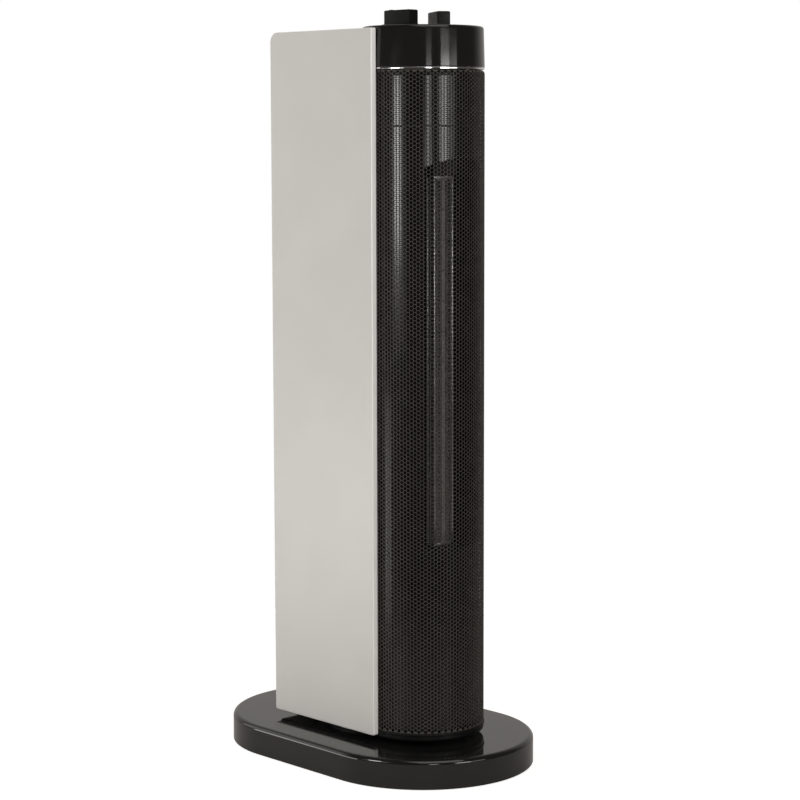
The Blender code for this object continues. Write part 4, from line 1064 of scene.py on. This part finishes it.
def mesh_rim():
    """The plain lip over the last cells and the plain legs that the side plates hold."""
    top, lip_end = mesh_high.z, shoulder_radius + lip_width
    cells_top = mesh_low.z + cell_rows * cell_pitch
    cells_end = 180 - math.degrees((cells_top - shoulder_start) / shoulder_radius)
    bend = (shoulder_radius, shoulder_start)
    section = arc(bend, shoulder_radius, cells_end, 90, 5)
    section += [(lip_end, top), (lip_end, top - sheet_thickness)]
    section += arc(bend, shoulder_radius - sheet_thickness, 90, cells_end, 5)
    parts = [along_front(section, mesh_high.y)]
    near = front_axis + leg_start - tower_radius * math.pi / 2
    for side in (-1, 1):
        low, high = sorted((side * tower_radius, side * (tower_radius - sheet_thickness)))
        parts.append(block((low, near, mesh_low.z), (high, mesh_high.y, shoulder_start), hair))
    return shown("mesh_rim", merged(*parts), "sheet_enamel")


lower_mesh = mesh_cells("lower_mesh", 0, cell_rows // 2)
upper_mesh = mesh_cells("upper_mesh", cell_rows // 2, cell_rows + 1)
for piece in (lower_mesh, upper_mesh, mesh_rim()):
    stands_for(piece, "tower", "mesh_black", "front_mesh")


# Side plates

def plate_outline(inset):
    """A plate's outline from the side. Small corners shrink less than the inset, and so keep some radius."""
    near, far = plate_low.y + inset, plate_high.y - inset
    bottom, top = plate_low.z + inset, plate_high.z - inset
    corner = plate_corner - inset * plate_corner_ease
    corners = [(near, bottom, corner), (far, bottom, corner), (far, top, plate_back_corner - inset)]
    return eased(corners + [(near, top, corner)], steps=8)


def side_plate(name, side):
    thickness = plate_high.x - plate_low.x
    levels = [(crisp_edge + brace, 0.0)] + round_edge(0, 0.0, crisp_edge, False, 2)
    levels += [(0, crisp_edge + brace), (0, thickness - plate_edge - brace)]
    levels += round_edge(0, thickness, plate_edge, True, 6) + [(plate_edge + brace, thickness)]

    def beside_the_tower(across, along, level):
        return (side * (tower_radius + plate_gap + level), across, along)

    plate = shown(name, skin(outlines(plate_outline, levels, beside_the_tower)), "plate_grey")
    # The narrow faces take the paler finish: painted light on the plate's edges.
    plate.data.materials.append(finishes["plate_edges"])
    for face in plate.data.polygons:
        if abs(face.normal.x) < sideways_share:
            face.material_index = 1
    return plate


stands_for(side_plate("left_plate", -1), "tower", "panel_grey", "side_plate_left")
stands_for(side_plate("right_plate", 1), "tower", "panel_grey", "side_plate_right")


# Inner shell

def shell_section():
    """The shell's wall with the groove of its seam."""
    outer = tower_radius - shell_radius
    inner, bed = outer + shell_wall, outer + shell_seam_depth
    seam_low, seam_high = shell_seam - shell_seam_gap / 2, shell_seam + shell_seam_gap / 2
    section = [(outer, shell_low.z), (outer, seam_low), (bed, seam_low), (bed, seam_high), (outer, seam_high)]
    return section + [(outer, shell_high.z), (inner, shell_high.z), (inner, shell_low.z)]


def window_cutter():
    """The tall window with its arched top and rounded lower corners."""
    half = shell_radius * math.sin(math.radians(window_half_angle))
    radius = (half**2 + window_arch**2) / (2 * window_arch)
    sweep = math.degrees(math.asin(half / radius))
    loop = arc((0, window_high - radius), radius, 90 - sweep, 90 + sweep, 40)
    loop += arc((-half + window_corner, window_low + window_corner), window_corner, 180, 270, 10)
    loop += arc((half - window_corner, window_low + window_corner), window_corner, 270, 360, 10)
    near, far = front_axis - shell_radius - shell_wall, front_axis - shell_wall
    return skin([[(x, y, z) for x, z in loop] for y in (near, far)])


def inner_shell():
    shell = shown("shell", along_front(shell_section(), shell_high.y, 72), "shell_black")
    shell.data.materials.append(finishes["moulded_black"])
    for face in shell.data.polygons:
        if abs(face.center.z - shell_seam) < shell_seam_gap:
            face.material_index = 1
    return carved(shell, shown("window", window_cutter(), "shell_black"))


stands_for(inner_shell(), "tower", "gloss_black", "inner_shell")


# Heating element

def element_rails():
    """Thin bright strips at the element's four corners, between its end caps."""
    low, high = element_low, element_high
    rail_size = Vector((rail_thickness, rail_depth, high.z - low.z - 2 * cap_thickness))
    parts = []
    for x in (low.x, high.x - rail_thickness):
        for y in (low.y, high.y - rail_depth):
            corner = Vector((x, y, low.z + cap_thickness))
            parts.append(block(corner, corner + rail_size))
    for z in (low.z, high.z - cap_thickness):
        parts.append(block((low.x, low.y, z), (high.x, high.y, z + cap_thickness)))
    return shown("element_rails", merged(*parts), "bare_aluminium")


def fin_bank(name, solid, side):
    """One bank of close folds between the stones and the rails."""
    low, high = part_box(solid)
    near, far = sorted((abs(low.x), abs(high.x)))
    height = high.z - low.z
    made = folded_fin.grown(
        name, "fin_aluminium", folds=4 * round(height / fin_pitch / 2),
        near=side * (near + fin_sheet), far=side * (far - fin_sheet),
        front=low.y + fin_setback, depth=high.y - low.y - 2 * fin_setback,
        base=low.z + fin_sheet, height=height - 2 * fin_sheet,
    )
    return settled(made, ("SOLIDIFY", {"thickness": fin_sheet, "offset": 0.0}))


def heating_stones():
    """Stones in a row, with a gap after each, between the two banks of fins."""
    low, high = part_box("stone_bar")
    pitch = (high.z - low.z + stone_gap) / stone_count
    stone = shown("stone", block((low.x, low.y, 0), (high.x, high.y, pitch - stone_gap)), "heating_stone")
    start = (0.0, 0.0, low.z)
    return in_rows("heating_stones", stone, "heating_stone", (1, 1, stone_count), (0.0, 0.0, pitch), start)


stands_for(element_rails(), "tower", "aluminium", "element_frame")
stands_for(fin_bank("left_fins", "fin_bank_left", -1), "tower", "aluminium", "fin_bank_left")
stands_for(fin_bank("right_fins", "fin_bank_right", 1), "tower", "aluminium", "fin_bank_right")
stands_for(heating_stones(), "tower", "ceramic", "stone_bar")


# Chrome ring, control head and knobs

def chrome_ring():
    low, high = ring_low.z, ring_high.z
    outer, inner = ring_high.x, ring_high.x - ring_width
    corners = [(inner, low, crisp_edge), (outer - ring_chamfer_width, low, crisp_edge)]
    corners += [(outer, low + ring_chamfer_height, faint_edge), (outer, high, ring_edge)]
    corners.append((inner, high, crisp_edge))
    shape = lathe(eased(corners, steps=4), (0, front_axis), 192)
    return shown("chrome_ring", shape, "bright_chrome", ring_smooth_limit)


def head_cap():
    """The hollow glossy cap that carries the knobs."""
    low, high = head_low.z, head_high.z
    under = high - head_wall
    crown = tower_radius - head_draft
    inner = crown - head_wall
    outer = tower_radius
    profile = [(0, high), (crown - head_edge - head_flat_inset, high)]
    profile += arc((crown - head_edge, high - head_edge), head_edge, 90, 0, 12)
    profile += [(crown + hair, high - head_edge - brace), (outer - hair, low + 2 * soft_edge)]
    profile += [(outer, low + fine_edge), (outer - fine_edge, low), (outer - head_wall, low)]
    profile += [(inner, under - head_inner_chamfer), (inner - head_inner_chamfer, under), (0, under)]
    cap = shown("head_cap", lathe(profile, (0, front_axis), 192, "open"), "piano_black")
    holes = []
    for x in (-control_spread, control_spread):
        start, end = (x, control_setback, under - cut_margin), (x, control_setback, high + cut_margin)
        holes.append(shown("spindle_hole", rod(spindle_hole_radius, start, end, 40), "piano_black"))
    return carved(cap, *holes)


def knob_outline(inset):
    across, along = knob_half_thickness - inset, knob_half_length - inset
    radius = max(knob_corner - inset, fine_edge)
    signs = ((1, 1), (-1, 1), (-1, -1), (1, -1))
    return eased([(side * across, end * along, radius) for side, end in signs], steps=6)


def knob_skirt(low):
    """The round skirt under the bar, a little higher in its middle."""
    high = low + knob_skirt_height
    corners = [(0, low, 0), (knob_skirt_radius, low, crisp_edge), (knob_skirt_radius, high, fine_edge)]
    return turned(corners + [(0, high + faint_edge, 0)], sides=96, steps=4)


def knob_bar(low):
    """The bar with its flared foot, rounded crown and slightly domed top."""
    foot, top = low + knob_skirt_height, low + knob_height
    levels = [(-knob_flare, low + soft_edge)]
    levels += [(-knob_flare * share, foot + rise) for share, rise in knob_flare_curve]
    levels.append((0, top - knob_crown - brace))
    levels += [(inset, level - knob_dome) for inset, level in round_edge(0, top, knob_crown, True, 7)]
    levels += [(knob_crown + inset, top - knob_dome * share) for inset, share in knob_dome_curve]
    return skin(outlines(knob_outline, levels))


def knob_dot(root, top):
    """The small raised dot near the bar's back end."""
    corners = [(0, root, 0), (knob_dot_radius, root, 0), (knob_dot_radius, top - faint_edge, fine_edge)]
    corners += [(knob_dot_radius * knob_dot_flat_share, top, crisp_edge), (0, top, 0)]
    return turned(corners, (0, knob_half_length - knob_dot_inset))


def bar_knob(solid, x, turn):
    """A bar knob on its skirt, turned clockwise by this many degrees."""
    low = head_high.z + knob_gap
    bar = shown("bar", knob_bar(low), "satin_black")
    dot = shown("dot", knob_dot(low + knob_height - brace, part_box(solid)[1].z), "satin_black")
    knob = joined(shown(f"{solid}_piece", knob_skirt(low), "satin_black"), bar, dot)
    socket = rod(knob_socket_radius, (0, 0, low - cut_margin), (0, 0, head_high.z + knob_socket_depth))
    carved(knob, shown("socket", socket, "satin_black"))
    place = Matrix.Translation((x, control_setback, 0))
    knob.data.transform(place @ Matrix.Rotation(-math.radians(turn), 4, "Z"))
    return knob


stands_for(chrome_ring(), "tower", "chrome", "trim_ring")
stands_for(head_cap(), "tower", "gloss_black", "control_head")
function_piece = bar_knob("function_knob", -control_spread, 0.0)
stands_for(function_piece, "function_dial", "satin_black", "function_knob")
thermostat_piece = bar_knob("thermostat_knob", control_spread, thermostat_turn)
stands_for(thermostat_piece, "thermostat_dial", "satin_black", "thermostat_knob")


# Back

def intake_cover():
    """The slotted cover over the dust screen, with two columns of round-ended slots."""
    low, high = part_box("intake_grille")
    end = slot_height / 2
    inner, outer = intake_rib / 2 + end, high.x - intake_frame - end
    loop = arc((outer, 0), end, -90, 90, 8) + arc((inner, 0), end, 90, 270, 8)
    depths = (low.y - cut_margin, high.y + cut_margin)
    cutter = shown("slot", skin([[(x, y, z) for x, z in loop] for y in depths]), "moulded_black")
    rows = int((high.z - low.z - 2 * intake_frame) / slot_pitch)
    start = (low.z + high.z - (rows - 1) * slot_pitch) / 2
    pitch = (-inner - outer, 0.0, slot_pitch)
    slots = in_rows("slots", cutter, "moulded_black", (2, 1, rows), pitch, (0.0, 0.0, start))
    cover = carved(shown("intake_cover", block(low, high, soft_edge), "moulded_black"), slots)
    rounding = {"width": fine_edge, "segments": 2, "limit_method": "ANGLE", "angle_limit": cover_bevel_turn}
    return settled(cover, ("BEVEL", rounding))


def rear_screws():
    length = size_of("rear_screw_1").y
    made = screw("rear_screw", length, (0, -1, 0))
    start = middle_of("rear_screw_1")
    start.y += length / 2 - screw_head_height
    return in_rows("rear_screws", made, "zinc_plate", (2, 1, 1), (-2 * start.x, 0.0, 0.0), start)


def neck_screws():
    """Three screws in a ring that hold the retaining ring to the collar."""
    length = size_of("neck_screw_1").z
    middle = middle_of("neck_screw_1")
    return copies_in_a_ring.grown(
        "neck_screws", "zinc_plate", copy=screw("neck_screw", length, (0, 0, 1)), count=3,
        radius=math.hypot(middle.x, middle.y), level=middle.z - length / 2 + screw_head_height,
        first_turn=math.degrees(math.atan2(middle.y, middle.x)),
    )


stands_for(intake_cover(), "tower", "satin_black", "intake_grille")
stands_for(rear_screws(), "tower", "zinc_steel", "rear_screw_1", "rear_screw_2")
stands_for(neck_screws(), "tower", "zinc_steel", *(f"neck_screw_{number}" for number in range(1, 4)))


# Carried-over solids, each with its own finish
worn = {
    "moulded_black": ("foot_sole", "tip_switch", "rear_housing", "bearing_ring"),
    "satin_black": ("top_deck", "scroll_wall", "cutoff_wall", "impeller"),
    "rolled_steel": ("ballast_plate", "swing_motor", "fan_stator", "fan_rotor"),
    "zinc_plate": ("retaining_ring", "motor_bracket"),
    "white_nylon": (
        "tip_plunger", "swing_crank", "top_bearing", "thermal_cutout", "function_spindle",
        "thermostat_spindle",
    ),
    "heat_resin": (
        "fan_deck_lower", "fan_deck_upper", "holder_lower", "holder_upper", "function_switch", "thermostat",
    ),
    "soft_rubber": ("foot_lead", "tower_lead"),
    "wound_copper": ("fan_coil",),
    "open_foam": ("dust_screen",),
}
for finish_name, node_names in worn.items():
    for node_name in node_names:
        for place in nodes[node_name].material_slots:
            place.material = finishes[finish_name]


# Floor, surroundings, lamps and camera

def emptied(owner):
    """The node tree of a material or a world, with nothing in it yet."""
    owner.use_nodes = True
    owner.node_tree.nodes.clear()
    return owner.node_tree


def mirror_rays(tree, rays):
    """1 for what a surface mirrors or lets through, and 0 for all else."""
    both = {0: rays["Is Glossy Ray"], 1: rays["Is Transmission Ray"]}
    return node_in(tree, "ShaderNodeMath", {"operation": "MAXIMUM"}, both).outputs[0]


def floor_paint():
    """Matt and pale, white to the camera, and clear far away."""
    material = bpy.data.materials.new("pale_floor")
    tree = emptied(material)
    rays = node_in(tree, "ShaderNodeLightPath").outputs
    faint = {0: mirror_rays(tree, rays), 1: floor_mirror_glow}
    faint = node_in(tree, "ShaderNodeMath", {"operation": "MULTIPLY"}, faint).outputs[0]
    glow = {0: rays["Is Camera Ray"], 1: floor_glow, 2: faint}
    glow = node_in(tree, "ShaderNodeMath", {"operation": "MULTIPLY_ADD"}, glow).outputs[0]
    matt = node_in(tree, "ShaderNodeBsdfDiffuse", (), {"Color": floor_colour}).outputs[0]
    lit = node_in(tree, "ShaderNodeEmission", (), {"Color": white, "Strength": glow}).outputs[0]
    near = node_in(tree, "ShaderNodeAddShader", (), {0: matt, 1: lit}).outputs[0]
    clear = node_in(tree, "ShaderNodeBsdfTransparent").outputs[0]
    place = node_in(tree, "ShaderNodeTexCoord").outputs["Object"]
    away = node_in(tree, "ShaderNodeVectorMath", {"operation": "LENGTH"}, {0: place}).outputs["Value"]
    fade = spread_in(tree, away, floor_fade, (0.0, 1.0), {"interpolation_type": "SMOOTHSTEP"})
    mix = node_in(tree, "ShaderNodeMixShader", (), {0: fade, 1: near, 2: clear}).outputs[0]
    node_in(tree, "ShaderNodeOutputMaterial", (), {"Surface": mix})
    return material


def pale_floor():
    """A round pale floor that keeps the shadow and fades into the white around it."""
    mesh = bpy.data.meshes.new("floor")
    shape = bmesh.new()
    bmesh.ops.create_circle(shape, cap_ends=True, segments=96, radius=floor_radius)
    shape.to_mesh(mesh)
    shape.free()
    mesh.materials.append(floor_paint())
    floor = bpy.data.objects.new("floor", mesh)
    scene.collection.objects.link(floor)


def white_surroundings():
    """White to the camera, an even light on every surface, and a studio that mirrors brighter behind."""
    world = bpy.data.worlds.new("white_surroundings")
    scene.world = world
    tree = emptied(world)
    rays = node_in(tree, "ShaderNodeLightPath").outputs
    heading = {0: node_in(tree, "ShaderNodeTexCoord").outputs["Generated"], 1: mirror_heading}
    behind = node_in(tree, "ShaderNodeVectorMath", {"operation": "DOT_PRODUCT"}, heading).outputs["Value"]
    mirrored = spread_in(tree, behind, mirror_turns, mirror_strengths, {"interpolation_type": "SMOOTHSTEP"})
    strength = {0: mirror_rays(tree, rays), 2: sky_strength, 3: mirrored}
    strength = node_in(tree, "ShaderNodeMix", (), strength).outputs[0]
    warm = node_in(tree, "ShaderNodeBackground", (), {"Color": warm_white, "Strength": strength}).outputs[0]
    plain = node_in(tree, "ShaderNodeBackground", (), {"Color": white, "Strength": 1.0}).outputs[0]
    sky = node_in(tree, "ShaderNodeMixShader", (), {0: rays["Is Camera Ray"], 1: warm, 2: plain}).outputs[0]
    node_in(tree, "ShaderNodeOutputWorld", (), {"Surface": sky})


def soft_lamp(name, turn, distance, height, aim, width, tall, brightness):
    """A rectangular lamp that looks this bright, wherever it stands.

    Its turn round the heater is in degrees, from the front to the right. It aims at a height on the axis.
    """
    light = bpy.data.lights.new(name, "AREA")
    light.shape = "RECTANGLE"
    light.size, light.size_y = width, tall
    light.color = lamp_colour
    light.energy = brightness * math.pi * width * tall
    lamp = bpy.data.objects.new(name, light)
    scene.collection.objects.link(lamp)
    turn = math.radians(turn)
    lamp.location = (distance * math.sin(turn), -distance * math.cos(turn), height)
    lamp.rotation_euler = (Vector((0, 0, aim)) - lamp.location).to_track_quat("-Z", "Y").to_euler()
    lamp.visible_camera = False


def lamps():
    """Three lamps beside the left plate, three strips ahead, and soft ones overhead and behind."""
    # Name, turn, distance, height, aim, width, tall, brightness
    soft_lamp("plate_lamp", -91, 0.9, 0.487, 0.487, 0.22, 0.214, 15.4)
    soft_lamp("wide_plate_lamp", -89.5, 0.905, 0.434, 0.434, 0.47, 0.32, 0.9)
    soft_lamp("low_plate_lamp", -124, 0.8, 0.08, 0.30, 0.50, 0.24, 4.3)
    soft_lamp("left_strip", -31.8, 2.2, 0.55, 0.55, 0.36, 0.44, 5.6)
    soft_lamp("middle_strip", -2, 2.2, 0.55, 0.55, 0.62, 0.44, 10.0)
    soft_lamp("right_strip", 14, 2.2, 0.55, 0.55, 0.56, 0.44, 2.8)
    soft_lamp("high_lamp", -20, 0.9, 1.65, 0.35, 1.3, 1.3, 1.8)
    soft_lamp("back_lamp", -150, 1.3, 0.6, 0.3, 0.8, 0.9, 1.2)


def photo_camera():
    """A camera at the photograph's angle. Yaw runs from straight ahead to the right, and pitch downwards."""
    lens = bpy.data.cameras.new("camera")
    lens.sensor_width = camera_sensor
    lens.lens = camera_lens
    lens.clip_start = camera_clip
    camera = bpy.data.objects.new("camera", lens)
    scene.collection.objects.link(camera)
    right = Vector((math.cos(camera_yaw), -math.sin(camera_yaw), 0))
    level = Vector((math.sin(camera_yaw), math.cos(camera_yaw), 0))
    ahead = level * math.cos(camera_pitch) - Vector((0, 0, math.sin(camera_pitch)))
    up = right.cross(ahead)
    cos_roll, sin_roll = math.cos(camera_roll), math.sin(camera_roll)
    right, up = right * cos_roll + up * sin_roll, up * cos_roll - right * sin_roll
    camera.matrix_world = Matrix.Translation(camera_place) @ Matrix((right, up, -ahead)).transposed().to_4x4()
    scene.camera = camera


pale_floor()
white_surroundings()
lamps()
photo_camera()
scene.view_settings.view_transform = "Standard"
